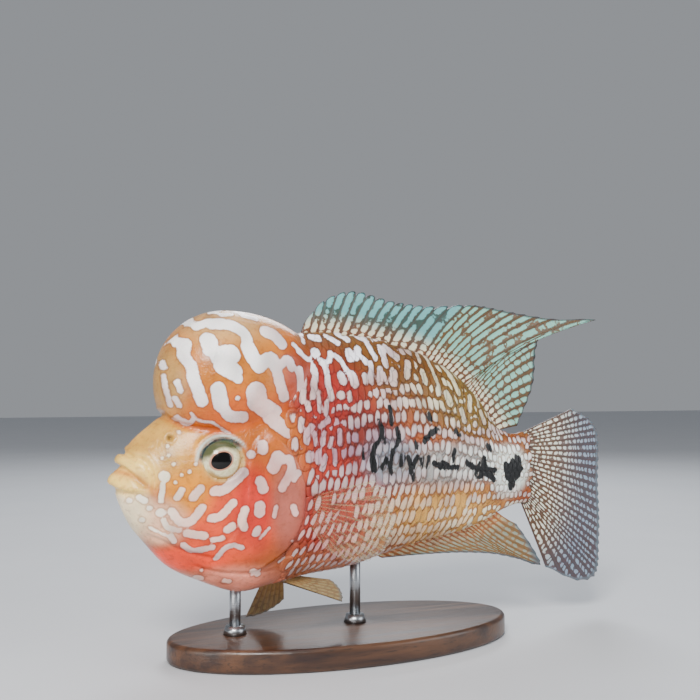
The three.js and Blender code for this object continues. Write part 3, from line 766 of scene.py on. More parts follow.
def inked(strokes, x, z):
    """How far inside the nearest stroke each place lies, in millimetres; below 0 outside them all."""
    best = np.full(np.shape(x), -5.0)
    for half, run in strokes:
        if len(run) == 1:
            best = np.maximum(best, half - np.hypot(x - run[0][0], z - run[0][1]))
        else:
            gap, _, _ = line_distance(smooth_line(run, 4), x, z)
            best = np.maximum(best, half - gap)
    return best


def wavy(x, y, z, wavelength, seed):
    """A random field of bands of one width, for marks on the sides that no picture shows."""
    waves = np.random.default_rng(seed)
    total = np.zeros(np.shape(x))
    for _ in range(28):
        way = waves.normal(size=3)
        way *= 2 * math.pi / wavelength / np.linalg.norm(way)
        total += np.cos(x * way[0] + y * way[1] + z * way[2] + waves.uniform(0, 2 * math.pi))
    return total / math.sqrt(14)


# %% Colours round the eye, and painted shade at the mouth and at the nostril
# Each ring: sRGB colour, inner and outer radius, and how high up the ring it starts, from -1 to 1
ORBIT_RINGS = [
    ("#bc9458", 5.2, 7.0, -2.0),
    ("#c4c8b4", 5.8, 7.4, 0.15),
    ("#5c6a3c", 5.2, 6.9, 0.25),
    ("#1c2c2a", 6.7, 8.2, 0.2),
    ("#c8d8d0", 8.3, 9.0, 0.1),
]
RING_EDGE = 0.4
ORBIT_LEAN = 0.35
MOUTH_LINE = smooth_line([(-84.5, -3), (-79, -4.6), (-73, -9.4)])


def orbit_paint(colour, x, y, z):
    """The dark green crescent over the eye, its pale outer line and the cream ring below."""
    out = np.hypot(x - EYE["x"], z - EYE["z"])
    height = (z - EYE["z"] + ORBIT_LEAN * (EYE["x"] - x)) / (out + 1e-6)
    for code, low, high, least in ORBIT_RINGS:
        inner = ease(low - RING_EDGE, low + RING_EDGE, out)
        outer = 1 - ease(high - RING_EDGE, high + RING_EDGE, out)
        share = inner * outer * ease(least, least + 0.35, height) * (np.abs(y) > EYE_SIDE)
        colour = lay(colour, share, code)
    return colour


def mouth_and_nostril_shade(colour, x, z):
    """Painted shade: darker orange in the crease between the lips, and a dark nostril pit."""
    gap, _, _ = line_distance(MOUTH_LINE, x, z)
    # Painted shade along the crease where the lips meet, darker than the lips round it
    colour = lay(colour, 0.75 * np.exp(-((gap / 1.3) ** 2)), "#c87a34")
    # Painted shade: the skin round the nostril darkened, standing in for the shadow in its pit
    nose = np.hypot(x - NOSTRIL[0], z - NOSTRIL[1])
    return colour * (1 - 0.85 * np.exp(-((nose / 0.9) ** 2)))[:, None]


# %% White marks of the skin and of the scales
# A pearl is gone when it is this faint
NO_PEARL = 4.0


def skin_marks(x, y, z, on_hump):
    """Strokes on the sides, and over the crown of the hump a random field of bands."""
    on_sides = inked(HUMP_STROKES, x, z) - 3 * (1 - ease(0.3, 0.7, on_hump))
    fine = HEAD_STROKES + NAPE_STROKES + [(DOT_HALF, [dot]) for dot in DOTS]
    drawn = np.maximum(on_sides, inked(fine, x, z))
    crown = (1 - ease(3.5, 9, np.abs(y))) * on_hump * ease(30, 44, z)
    field = 1.5 * (wavy(x, y, z, 8.5, 3) - 0.15)
    return drawn * (1 - crown) + field * crown


def flank_marks(x, z):
    """Strokes on the scales, and where they or the shoulder's mottling take the place of pearls."""
    white = inked(FLANK_STROKES, x, z) - 0.2 * (x < -9)
    shoulder = np.hypot((x + 8) / 15, (z - 33) / 13)
    return white, np.maximum(ease(-1.5, -0.5, white), 1 - ease(0.85, 1.1, shoulder))


# %% Paint the skin
def paint(mesh, pearls=None):
    """Keeps ground colour, pale colour, and how deep each point is in a pale or black mark."""
    x, y, z = unplace(points_of(mesh))
    on_hump = (1 - ease(0.97, 1.16, in_hump(x, y * 0.96, z))) * (1 - ease(-26, -16, x))
    ground = zoned(GROUND, x, z)
    ground += (zoned(HUMP_GROUND, x, z) - ground) * on_hump[:, None]
    # Here the ground colour takes the painted shade at the mouth and the nostril
    ground = mouth_and_nostril_shade(orbit_paint(ground, x, y, z), x, z)
    cloudy = wavy(x, y, z, 9, 5)
    low_flank = ease(14, 24, x) * (1 - ease(56, 66, x)) * (1 - ease(-16, -8, z))
    pale = lay(zoned(PALE, x, z), 0.55 * ease(0.2, 1.4, cloudy) * low_flank, "#e09a2c")
    pale *= 1 + 0.1 * cloudy[:, None]
    if pearls is None:
        white = skin_marks(x, y, z, on_hump)
    else:
        white, covered = flank_marks(x, z)
        store(mesh, "pearl_across", pearls[:, 0])
        store(mesh, "pearl_along", pearls[:, 1])
        store(mesh, "pearl_faint", np.maximum(pearls[:, 2], NO_PEARL * covered))
    store(mesh, "ground", ground)
    store(mesh, "pale", pale)
    store(mesh, "white", white)
    store(mesh, "black", inked(BLACK_STROKES, x, z))
    print(mesh.name, "painted,", round(100 * np.mean(white > 0)), "% of its points in white strokes")


paint(skin)

# %% [markdown]
# ## Materials
# Wet fish skin is pigment under a clear, smooth layer. On a museum cast that layer is varnish, so each
# finish is a Principled shader with its colour from the painted attributes, a little scattering under
# the surface and a thin coat. One function adds a node and hands back its output, so a finish reads
# from top to bottom as the layers of paint that it stands for.

# %% A node with its settings and links
# A Mix node of colours has its share at socket 0, the colours at 6 and 7, and its result at 2
SHARE, UNDER, OVER = 0, 6, 7
COLOURS = dict(out=2, data_type="RGBA")
SOFTLY = dict(interpolation_type="SMOOTHSTEP")
BUMP_DEPTH = 0.6


def node(tree, kind, links=(), out=0, **settings):
    """Adds a node and gives back one of its outputs. A link is a socket, a value or an sRGB hex."""
    made = tree.nodes.new("ShaderNode" + kind)
    for name, value in settings.items():
        setattr(made, name, value)
    for socket, source in links.items() if isinstance(links, dict) else enumerate(links):
        if isinstance(source, bpy.types.NodeSocket):
            tree.links.new(source, made.inputs[socket])
        elif isinstance(source, str):
            made.inputs[socket].default_value = (*tone(source), 1)
        else:
            made.inputs[socket].default_value = source
    return made.outputs[out] if len(made.outputs) else made


def new_material(name):
    """An empty material, and the node function set to work on its tree."""
    material = bpy.data.materials.new(name)
    material.use_nodes = True
    material.node_tree.nodes.clear()
    return material, functools.partial(node, material.node_tree)


def per_metre(size_mm):
    """The scale of a pattern whose blobs are about size_mm across."""
    return 1 / (size_mm * MM)


def finish_with(add, colour, roughness, bump, strength, **fixed):
    """The shader at the end of a tree, with what is fixed set on its own sockets."""
    links = {"Base Color": colour, "Roughness": roughness}
    if bump is not None:
        links["Normal"] = add("Bump", {"Height": bump, "Strength": strength, "Distance": BUMP_DEPTH * MM})
    links.update({name.replace("_", " "): value for name, value in fixed.items()})
    add("OutputMaterial", {"Surface": add("BsdfPrincipled", links)})


def airbrush(add, under, over, where, most=1.0):
    """Paint over paint. where: a value, the edge at which the layer starts, the one where it is full."""
    share = add("MapRange", (*where, 0.0, most), **SOFTLY)
    return add("Mix", {SHARE: share, UNDER: under, OVER: over}, **COLOURS)


# %% A rounded square, for pearls and dashes
SQUARENESS = 2.6


def rounded(add, across, along):
    """How far out of a rounded square a place lies: 0 in its middle, 1 on its edge, more outside it."""
    powers = []
    for way in (across, along):
        size = add("Math", (way,), operation="ABSOLUTE")
        powers.append(add("Math", (size, SQUARENESS), operation="POWER"))
    total = add("Math", powers, operation="ADD")
    return add("Math", (total, 1 / SQUARENESS), operation="POWER")


def pearl_depth(add):
    """How far inside its scale's pearl a place lies."""
    across, along, faint = (
        add("Attribute", out="Fac", attribute_name="pearl_" + part) for part in ("across", "along", "faint")
    )
    inside = add("Math", (1.0, rounded(add, across, along)), operation="SUBTRACT")
    return add("Math", (inside, faint), operation="SUBTRACT")


# %% Painted and varnished skin
def painted_skin(name, coat, wobble=0.9, bump_mm=0.9, with_pearls=False):
    """Airbrushed resin under clear varnish: soft pigment, crisp pale marks, wet highlights."""
    material, add = new_material(name)
    ground, pale = (add("Attribute", out="Color", attribute_name=kept) for kept in ("ground", "pale"))
    white, black = (add("Attribute", out="Fac", attribute_name=kept) for kept in ("white", "black"))
    if with_pearls:
        white = add("Math", (white, pearl_depth(add)), operation="MAXIMUM")
    where = add("TexCoord", out="Object")
    upright = add("Mapping", {"Vector": where, "Scale": (1.0, 1.0, 0.28)})
    cloud = add("TexNoise", {"Vector": where, "Scale": per_metre(9), "Detail": 4}, out="Fac")
    grain = add("TexNoise", {"Vector": where, "Scale": per_metre(1.6), "Detail": 3}, out="Fac")
    streak = add("TexNoise", {"Vector": upright, "Scale": per_metre(1.3), "Detail": 3}, out="Fac")
    pores = add("TexNoise", {"Vector": where, "Scale": per_metre(bump_mm), "Detail": 4}, out="Fac")

    # Pigment: the ground colour, lighter and darker in clouds, with small rust-brown flecks
    shade = add("MapRange", (cloud, 0.3, 0.7, 0.78, 1.2))
    shades = add("CombineColor", (shade, shade, shade))
    colour = add("Mix", {SHARE: 1.0, UNDER: ground, OVER: shades}, blend_type="MULTIPLY", **COLOURS)
    colour = airbrush(add, colour, "#7a3416", (grain, 0.52, 0.72), 0.28)

    # White marks, each with a deeper line of the ground colour round it
    rough_edge = streak if with_pearls else grain
    shift = add("Math", (rough_edge, wobble, -0.5 * wobble), operation="MULTIPLY_ADD")
    edge = add("Math", (white, shift), operation="ADD")
    deep = add("Mix", {SHARE: 1.0, UNDER: colour, OVER: "#a4806c"}, blend_type="MULTIPLY", **COLOURS)
    colour = airbrush(add, colour, deep, (edge, -0.75, -0.15), 0.8 if with_pearls else 0.5)
    milky = airbrush(add, pale, "#fffdf8", (cloud, 0.35, 0.65), 0.16)
    mark = add("MapRange", (edge, -0.22, 0.28), **SOFTLY)
    colour = add("Mix", {SHARE: mark, UNDER: colour, OVER: milky}, **COLOURS)

    # Black marks, with edges drawn out upwards and downwards
    ragged = add("Math", (streak, 2.8, -1.3), operation="MULTIPLY_ADD")
    dark_edge = add("Math", (black, ragged), operation="ADD")
    colour = airbrush(add, colour, "#050506", (dark_edge, -0.25, 0.25))

    # Relief: pores, the marks a little proud, and on bare skin the small scales that lie under it
    if not with_pearls:
        cells = {"Vector": where, "Scale": per_metre(2.2)}
        nearest = add("TexVoronoi", cells, out="Distance", feature="SMOOTH_F1")
        pores = add("Math", (nearest, -0.9, pores), operation="MULTIPLY_ADD")
    roughness = add("MapRange", (pores, 0.3, 0.7, 0.3, 0.5))
    height = add("Math", (mark, 0.25, pores), operation="MULTIPLY_ADD")
    finish_with(
        add, colour, roughness, height, 0.35,
        Subsurface_Weight=0.08, Subsurface_Scale=0.002, Coat_Weight=coat, Coat_Roughness=0.18,
        Specular_IOR_Level=0.3,
    )
    print(name, "has", len(material.node_tree.nodes), "nodes")
    return material


skin_paint = painted_skin("painted resin skin", 0.25)
scale_paint = painted_skin("painted resin scales", 0.15, wobble=1.5, bump_mm=0.6, with_pearls=True)
FLESH = ("head", "nuchal_hump", "upper_lip", "lower_jaw", "trunk", "tail_stem", "gill_cover")
flesh = [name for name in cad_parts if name.startswith(FLESH)]
piece("skin", skin, skin_paint, "skin", *flesh)

# %% [markdown]
# ## Scales
# The flank has about forty scales along its middle row and nearly twenty rows from back to belly, each
# row shifted by half a scale. A scale is a thin plate, sunk in front, its free rear edge lying on the
# next. Displacing the skin would blur those edges, so each is a small closed plate bent over the body,
# all joined into one mesh for each side.

# %% Where the scales sit
SCALE_PITCH = 2.8
ROW_HEIGHT = 5.3
ROW_WAVE = 0.55
SCALE_FRONT, SCALE_REAR, SCALE_HALF = 2.9, 1.95, 3.7
SCALE_THICK = 0.16
SCALE_TILT = 0.085
SCALE_LIFT = 0.12
FLANK_START = -27
FLANK_END = 81
ARC_STEPS = np.linspace(0, math.pi / 2, 60)


def section(x, angle):
    """y and z of the body's side at a station; angle 0 is its widest line, above 0 goes up to the back."""
    above = angle > 0
    widest = through(STATION_X, WIDEST, x)
    reach = np.where(above, through(STATION_X, BACK, x) - widest, widest - through(STATION_X, BELLY, x))
    exponent = np.where(above, BACK_POWER, BELLY_POWER)
    half = through(STATION_X, HALF, x) * np.clip(np.cos(angle), 0, 1) ** exponent
    return half, widest + reach * np.sin(angle)


def arc_table(x, sign):
    """Lengths along the section from the widest line, at each of ARC_STEPS."""
    y, z = section(np.full(len(ARC_STEPS), x), sign * ARC_STEPS)
    return np.r_[0, np.cumsum(np.hypot(np.diff(y), np.diff(z)))]


def arc_angles(x, arcs):
    """Section angles at lengths along the section from its widest line, above 0 towards the back."""
    up = np.interp(np.abs(arcs), arc_table(x, 1), ARC_STEPS)
    down = -np.interp(np.abs(arcs), arc_table(x, -1), ARC_STEPS)
    return np.where(arcs > 0, up, down)


def on_flank(x, angle, side, lift):
    """Points standing lift millimetres off the body, square to its surface."""
    turn, stride = 0.02, 0.4
    y, z = section(x, angle)
    y2, z2 = section(x, angle + turn)
    y1, z1 = section(x, angle - turn)
    up = np.stack([np.zeros_like(y), y2 - y1, z2 - z1], -1)
    y2, z2 = section(x + stride, angle)
    y1, z1 = section(x - stride, angle)
    aft = np.stack([np.full_like(y, 2 * stride), y2 - y1, z2 - z1], -1)
    out = np.cross(up, aft)
    out /= np.linalg.norm(out, axis=1)[:, None]
    out *= np.sign(out[:, 1:2] + 1e-9)
    return place(x + out[:, 0] * lift, side * (y + out[:, 1] * lift), z + out[:, 2] * lift)


print("round the deepest section:", round(2 * (arc_table(0, 1)[-1] + arc_table(0, -1)[-1])), "mm")

# %% One scale
plate = bmesh.new()
bmesh.ops.create_grid(plate, x_segments=5, y_segments=7, size=1)
for vertex in plate.verts:
    u, v = vertex.co.x, vertex.co.y
    reach = SCALE_REAR if u > 0 else SCALE_FRONT
    vertex.co.x = u * math.sqrt(1 - 0.5 * v * v) * reach
    vertex.co.y = v * math.sqrt(1 - 0.42 * u * u) * SCALE_HALF
walls = bmesh.ops.extrude_edge_only(plate, edges=[e for e in plate.edges if e.is_boundary])
lower = [v for v in walls["geom"] if isinstance(v, bmesh.types.BMVert)]
bmesh.ops.translate(plate, verts=lower, vec=(0, 0, -SCALE_THICK))
bmesh.ops.holes_fill(plate, edges=[e for e in plate.edges if e.is_boundary])
template = to_mesh("scale", plate)
TEMPLATE = points_of(template)
TEMPLATE[:, 2] -= TEMPLATE[:, 2].min()
print("a scale has", len(template.polygons), "faces")


# %% The pearl on a scale
def pearl_on_scale(x, z, u, v, draws):
    """Each point's place across and along the pearl, in its half widths, and how faint the pearl is."""
    raised, ahead, wider, taller, leaning, chance = draws
    belly = float(ease(-8, -18, z) * ease(4, -8, x))
    rear = float(ease(46, 62, x) * ease(4, -8, z))
    back = float(ease(14, 24, z) * ease(14, 26, x))
    low = float(ease(-10, -18, z) * ease(0, 14, x))
    middle = float(ease(8, -12, z) * ease(60, 46, x)) * (1 - belly)
    wide = (1.12 + 0.26 * wider) * (1 - 0.3 * belly) - 0.08 * middle + 0.1 * low
    tall = (2.0 + 0.45 * taller) * (1 - 0.3 * rear) + 0.3 * middle + 0.2 * low
    lean = 0.03 + 0.22 * leaning - 0.42 * belly + 0.34 * back - 0.26 * middle
    faint = NO_PEARL if chance > 0.86 - 0.1 * low else 0.0
    across = (u - 0.55 - 0.25 * ahead + lean * v) / wide
    return np.c_[across, (v + (0.6 + 0.4 * low) * raised) / tall, np.full(len(u), faint)]


# %% Lay the scales down each side
ROWS = range(-10, 11)
BACK_MARGIN, BELLY_MARGIN = 1.6, 0.4
GILL_MARGIN = 0.4
HUMP_MARGIN = 1.04
# Each scale bakes to a patch of its own: the image spans these millimetres, with one side in each half
BAKE_SPAN_X, BAKE_SPAN_ARC = 250, 125
BAKE_START = {-1: 0.02, 1: 0.52}
BAKE_PATCH = 0.0015


def has_room(x, y, z, arc, shrink):
    """Whether a scale fits: short of the back and belly lines, behind the gill cover and off the hump."""
    upward = arc > 0
    margin = (BACK_MARGIN if upward else BELLY_MARGIN) * shrink
    gap, gill_side, _ = line_distance(GILL_REAR, np.array([x]), z)
    behind_gill = gill_side[0] > 0 and gap[0] > GILL_MARGIN
    in_section = arc_table(x, 1 if upward else -1)[-1] - abs(arc) > margin
    return in_section and behind_gill and in_hump(x, y[0], z[0]) > HUMP_MARGIN


def lay_scales(name, side):
    """Copies the scale over one side in rows, bends each copy to the body and sizes it to its place."""
    pearl_rng = np.random.default_rng(11)
    whole = bmesh.new()
    points, pearls, patches = [], [], []
    for row in ROWS:
        x = FLANK_START + (SCALE_PITCH / 2 if row % 2 else 0)
        while x < FLANK_END:
            shrink = 1 - 0.3 * float(ease(25, 78, x))
            arc = row * ROW_HEIGHT * shrink + 0.6 + ROW_WAVE * math.sin(0.13 * x + 2.1 * row)
            y, z = section(np.array([x]), arc_angles(x, np.array([arc])))
            draws = pearl_rng.uniform(-1, 1, 6)
            if has_room(x, y, z, arc, shrink):
                size = shrink * (1 + 0.05 * draws[0])
                u, v, h = TEMPLATE[:, 0] * size, TEMPLATE[:, 1] * size, TEMPLATE[:, 2]
                crown = 0.06 * (1 - (v / (SCALE_HALF * size)) ** 2)
                lift = SCALE_LIFT + SCALE_TILT * u + crown + h - SCALE_THICK + 0.03 * draws[1]
                points.append(on_flank(x + u, arc_angles(x, arc + v), side, lift))
                pearls.append(pearl_on_scale(x, z[0], u / size, v / size, draws))
                home = ((x - FLANK_START) / BAKE_SPAN_X + BAKE_START[side], 0.5 + arc / BAKE_SPAN_ARC)
                patches.append(np.array(home) + TEMPLATE[:, :2] * BAKE_PATCH / SCALE_HALF)
                whole.from_mesh(template)
            x += SCALE_PITCH * (1 - 0.12 * float(ease(30, 78, x)))
    mesh = to_mesh(name, whole, outward=False)
    set_points(mesh, np.concatenate(points))
    if side > 0:
        mesh.flip_normals()
    corners = np.empty(len(mesh.loops), dtype=np.int64)
    mesh.loops.foreach_get("vertex_index", corners)
    patch = mesh.uv_layers.new(name="OFBake")
    patch.data.foreach_set("uv", np.concatenate(patches)[corners].ravel())
    paint(mesh, np.concatenate(pearls))
    print(len(points), "scales on", name)
    return mesh


for name, side in (("scales_left", -1), ("scales_right", 1)):
    piece(name, lay_scales(name, side), scale_paint, "skin")

# %% [markdown]
# ## Fins
# A fin is a thin web between bony rays. The dorsal fin has hard spines in front with a scalloped web
# and a long trailing point behind, and soft rays branch and are ringed by joints. Each fin is a fine
# grid pulled into a closed sheet, thicker along its rays. Cloth would hang too limp for rays.

# %% Rays that set each fin's outline, from the first to the last
# Each ray: its share of the way across the fin, its root's x, or z on the tail, and its tip's x and z
ROOT_DEPTH = 3
DORSAL = np.array([
    (0, -17.5, -16.2, 49.4), (0.07, -12, -8.6, 57.6), (0.18, -4, 3.4, 61.7), (0.34, 9, 19.5, 58.4),
    (0.5, 23, 36, 57), (0.62, 34, 56, 58.2), (0.72, 42, 78, 55.8), (0.78, 46.5, 99, 54.2),
    (0.815, 49, 122.5, 55), (0.85, 52, 96.5, 51), (0.9, 56, 88.4, 43), (0.95, 61, 85.6, 26),
    (1, 65.5, 77, 9.6),
]).T
CAUDAL = np.array([
    (0, 6.4, 106, 16.4), (0.1, 4.4, 118, 11), (0.22, 1.4, 123.4, 2.4), (0.45, -5.2, 122.2, -19),
    (0.7, -12.6, 120, -41), (0.87, -17, 118.2, -55), (0.94, -18.8, 108, -56), (1, -19.8, 92, -49),
]).T
ANAL = np.array([
    (0, 10, 15, -39.2), (0.2, 20, 32, -39), (0.42, 31, 49, -39.4), (0.6, 41, 65, -41.2),
    (0.74, 49, 78, -44.4), (0.84, 54, 88, -47.4), (0.92, 59, 84, -40), (1, 64.5, 76, -30),
]).T


def ray_run(from_x, from_z, to_x, to_z, out, bow):
    """A point on a ray that leans back towards its tip."""
    knee_x = from_x + (to_x - from_x) * (0.5 - bow)
    knee_z = from_z + (to_z - from_z) * (0.5 + bow)
    x = (1 - out) ** 2 * from_x + 2 * out * (1 - out) * knee_x + out**2 * to_x
    z = (1 - out) ** 2 * from_z + 2 * out * (1 - out) * knee_z + out**2 * to_z
    return x, z


def dorsal_at(across, out):
    """A place on the dorsal fin, which waves a little from side to side along its edge."""
    root, tip_x, tip_z = (through(DORSAL[0], DORSAL[k], across) for k in (1, 2, 3))
    base = through(STATION_X, BACK, root) - ROOT_DEPTH
    x, z = ray_run(root - 1, base, tip_x, tip_z, out, 0.16 * across)
    return x, 0.9 * out**2 * np.sin(9 * across), z


def caudal_at(across, out):
    """A place on the tail fin, whose rays fan out from the end of the stem."""
    root, tip_x, tip_z = (through(CAUDAL[0], CAUDAL[k], across) for k in (1, 2, 3))
    x, z = ray_run(STEM_END_X - 4, root, tip_x, tip_z, out, 0)
    return x, 1.6 * out**2 * np.sin(7.5 * across - 0.6), z


def anal_at(across, out):
    """A place on the anal fin, which hangs from the belly."""
    root, tip_x, tip_z = (through(ANAL[0], ANAL[k], across) for k in (1, 2, 3))
    base = through(STATION_X, BELLY, root) + ROOT_DEPTH
    x, z = ray_run(root - 1, base, tip_x, tip_z, out, 0.1)
    return x, -1.2 * out**2 * np.sin(3 * across), z


# %% Paired fins fan out from a short root
# A fan spreads from one angle to another in its own plane, and that plane flares out from the body
PECTORAL = dict(x=-21, z=-17, base=8.5, reach=31, spread=(16, -58), flare=40)
PELVIC = dict(
    left=dict(x=-29, y=5.5, base=6, reach=26, spread=(-21, -7), flare=9),
    right=dict(x=-29, y=5.5, base=6, reach=17.4, spread=(-112, -84), flare=14),
)
PELVIC_Z = -42.6
SIDES = dict(left=-1, right=1)


def fan_angle(fan, across):
    first, last = fan["spread"]
    return np.radians(first + (last - first) * across)


def pectoral_at(side):
    """The fan behind the gill cover, cupped like a hand and held out from the body."""
    flare = math.radians(PECTORAL["flare"])

    def at(across, out):
        angle = fan_angle(PECTORAL, across)
        run = out * PECTORAL["reach"] * (1 - 0.42 * np.abs(2 * across - 0.72) ** 2)
        root_z = PECTORAL["z"] + PECTORAL["base"] * (0.5 - across)
        root_y = half_width(np.full(np.shape(root_z), float(PECTORAL["x"])), root_z) - 1.6
        cup = 2.2 * np.sin(math.pi * out) * np.sin(math.pi * across)
        x = PECTORAL["x"] + run * np.cos(angle) * math.cos(flare)
        return x, side * (root_y + run * math.sin(flare) + cup), root_z + run * np.sin(angle)

    return at


def pelvic_at(name):
    """The narrow fan under the breast; the left one trails back and the right one hangs."""
    fan = PELVIC[name]
    flare = math.radians(fan["flare"])

    def at(across, out):
        angle = fan_angle(fan, across)
        run = out * fan["reach"] * (1 - 0.42 * across**1.4)
        x = fan["x"] + fan["base"] * across + run * np.cos(angle) * math.cos(flare)
        y = SIDES[name] * (fan["y"] - 2.2 * across + run * math.sin(flare))
        return x, y, PELVIC_Z + run * np.sin(angle)

    return at


# %% A fin as a closed sheet with its rays standing proud
WEB_HALF = 0.2
COLUMNS_PER_RAY = 6
FORK = 0.2
RIDGE_WIDTH = 0.13


def closed_grid(columns, rows):
    """A flat box of two grids joined round the edge: x and y run from 0 to 1, and z is -1 or 1."""
    bm = bmesh.new()
    bmesh.ops.create_grid(bm, x_segments=columns, y_segments=rows, size=0.5)
    made = bmesh.ops.extrude_face_region(bm, geom=bm.faces[:], use_keep_orig=True)
    bmesh.ops.translate(bm, verts=bm.verts[:], vec=(0.5, 0.5, -1))
    upper = [v for v in made["geom"] if isinstance(v, bmesh.types.BMVert)]
    bmesh.ops.translate(bm, verts=upper, vec=(0, 0, 2))
    return bm


def fin_mesh(name, at, rays, rows, ray_half, dashes, spiny=0.0, lobe=0.0, tint=(3, 13)):
    """rays: (share across, rays up to there); dashes: (share across, near reach, near step, far step)."""
    rays, dashes = np.array(rays).T, np.array(dashes).T
    ray_count = rays[1, -1]
    bm = closed_grid(int(COLUMNS_PER_RAY * ray_count), rows)
    web, row, face = np.array([v.co for v in bm.verts]).T
    web = web * ray_count
    across = np.interp(web, rays[1], rays[0])
    share = web % 1
    is_spine = 1 - ease(spiny - 0.02, spiny + 0.02, across) if spiny else np.zeros_like(across)
    bulge = np.clip(np.sin(math.pi * share), 0, 1) ** 0.5
    scallop = lobe * (1 - bulge) * is_spine + 0.015 * (1 - is_spine) * np.sin(math.pi * share)
    out = row * (1 - scallop)
    here = place(*at(across, out))

    # Square to the sheet, from two short steps along it
    step = 2e-3
    along = place(*at(across, np.minimum(1, out + step))) - place(*at(across, np.maximum(0, out - step)))
    over = place(*at(np.minimum(1, across + step), out)) - place(*at(np.maximum(0, across - step), out))
    normal = np.cross(along, over)
    normal /= np.linalg.norm(normal, axis=1)[:, None] + 1e-15

    # A soft ray forks half way out and is ringed by joints, a spine does neither
    fork = FORK * ease(0.45, 1, out) * (1 - is_spine)
    ridge = np.exp(-(((np.abs(share - np.round(share)) - fork) / RIDGE_WIDTH) ** 2))
    joints = 1 + 0.12 * (1 - is_spine) * np.sin(row * rows * 1.9)
    half = WEB_HALF + (ray_half * (1 - 0.75 * out) - 0.1) * ridge * joints
    belly_out = 0.18 * np.sin(2 * math.pi * share) * row
    for vertex, point in zip(bm.verts, here + normal * ((half * face + belly_out) * MM)[:, None]):
        vertex.co = point
    mesh = to_mesh(name, bm)

    run = np.linalg.norm(here - place(*at(across, np.zeros_like(out))), axis=1) / MM
    reach, close_step, far_step = (np.interp(across, dashes[0], dashes[k]) for k in (1, 2, 3))
    store(mesh, "web", web)
    store(mesh, "run", np.minimum(run, reach) / close_step + np.maximum(0, run - reach) / far_step)
    store(mesh, "tint", ease(*tint, run))
    store(mesh, "out", row)
    store(mesh, "soft", 1 - is_spine)
    store(mesh, "ridge", ridge)
    return mesh


# %% [markdown]
# ### What the fins' paint follows
# Between two rays the web carries a file of pale turquoise dashes on brown, out of step with the file
# beside it. The dashes are counted along each ray in real millimetres, and each file starts at its own
# random place, so the rows look grown and not printed. Margins go thin and grey-blue.


# %% Web, rays and margin of a fin
def fin_paint(
    name, web, dash, ray, margin, wide=0.36, long=0.4, margin_from=0.93, clear=None, uneven=1.0
):
    """Thin cast resin, airbrushed and varnished: dashes stand pale on the web, rays dark.

    web and dash each hold three colours: near the root, further out between spines, between soft rays.
    """
    material, add = new_material(name)
    in_web, run, out, soft, tint, ridge = (
        add("Attribute", out="Fac", attribute_name=kept)
        for kept in ("web", "run", "out", "soft", "tint", "ridge")
    )
    where = add("TexCoord", out="Object")
    cloud = add("TexNoise", {"Vector": where, "Scale": per_metre(5), "Detail": 3}, out="Fac")
    grain = add("TexNoise", {"Vector": where, "Scale": per_metre(1.3), "Detail": 3}, out="Fac")
    wobble = add("Math", (grain, 0.9 * uneven, -0.45 * uneven), operation="MULTIPLY_ADD")
    drift = add("Math", (cloud, 1.8 * uneven, -0.9 * uneven), operation="MULTIPLY_ADD")

    # Dashes: each file starts at its own random place, and a dash is a rounded square with a rough edge
    file = add("Math", (in_web,), operation="FLOOR")
    start = add("TexWhiteNoise", {"W": file}, out="Value", noise_dimensions="1D")
    started = add("Math", (run, start), operation="ADD")
    counted = add("Math", (started, drift), operation="ADD")
    aside, ahead = (add("Math", (count,), operation="FRACT") for count in (in_web, counted))
    aside, ahead = (add("Math", (part, 0.5), operation="SUBTRACT") for part in (aside, ahead))
    aside = add("Math", (wobble, 0.16, aside), operation="MULTIPLY_ADD")
    aside = add("Math", (aside, wide), operation="DIVIDE")
    ahead = add("Math", (ahead, long), operation="DIVIDE")
    ring = add("Math", (wobble, 0.9, rounded(add, aside, ahead)), operation="MULTIPLY_ADD")
    spot = add("MapRange", (ring, 1.12, 0.86), **SOFTLY)

    # Colours, from the web up to the margin
    outer_web = add("Mix", {SHARE: soft, UNDER: web[1], OVER: web[2]}, **COLOURS)
    colour = add("Mix", {SHARE: tint, UNDER: web[0], OVER: outer_web}, **COLOURS)
    colour = airbrush(add, colour, ray, (cloud, 0.4, 0.7), 0.35)
    outer_dash = add("Mix", {SHARE: soft, UNDER: dash[1], OVER: dash[2]}, **COLOURS)
    dashes = add("Mix", {SHARE: tint, UNDER: dash[0], OVER: outer_dash}, **COLOURS)
    colour = add("Mix", {SHARE: spot, UNDER: colour, OVER: dashes}, **COLOURS)
    colour = airbrush(add, colour, ray, (ridge, 0.45, 0.9), 0.6)
    colour = airbrush(add, colour, margin, (out, margin_from, 0.985), 0.85)
    height = add("Math", (spot, 0.2, grain), operation="MULTIPLY_ADD")
    roughness = add("MapRange", (grain, 0.3, 0.7, 0.32, 0.5))
    seen = {"Alpha": add("MapRange", (ridge, 0.1, 0.9, *clear), **SOFTLY)} if clear else {}
    finish_with(
        add, colour, roughness, height, 0.3,
        Subsurface_Weight=0.15, Subsurface_Scale=0.002, Coat_Weight=0.25, Coat_Roughness=0.15, **seen,
    )
    return material


dorsal_paint = fin_paint(
    "painted dorsal web",
    web=("#6e3c14", "#2c4840", "#5c4012"), dash=("#e6dcbc", "#62a4a4", "#76b4a2"),
    ray="#3a2812", margin="#1c2026", margin_from=0.955, long=0.43, wide=0.34,
)
caudal_paint = fin_paint(
    "painted tail web",
    web=("#5a3a18", "#4a403c", "#443c44"), dash=("#dcdcc8", "#8090a2", "#7c90a4"),
    ray="#3c2a22", margin="#5a666e", margin_from=0.95, long=0.33, wide=0.29, uneven=1.5,
)
anal_paint = fin_paint(
    "painted anal web",
    web=("#bc6616", "#7c5c2c", "#7c5c2c"), dash=("#ccac6c", "#78806c", "#78806c"),
    ray="#5c3c1c", margin="#3c505c", margin_from=0.84, long=0.34, wide=0.28, uneven=1.2,
)
pelvic_paint = fin_paint(
    "painted pelvic web",
    web=("#98703c", "#7c6444", "#7c6444"), dash=("#a4824c", "#8c7a54", "#8c7a54"),
    ray="#5c4a2c", margin="#6c6a62",
)
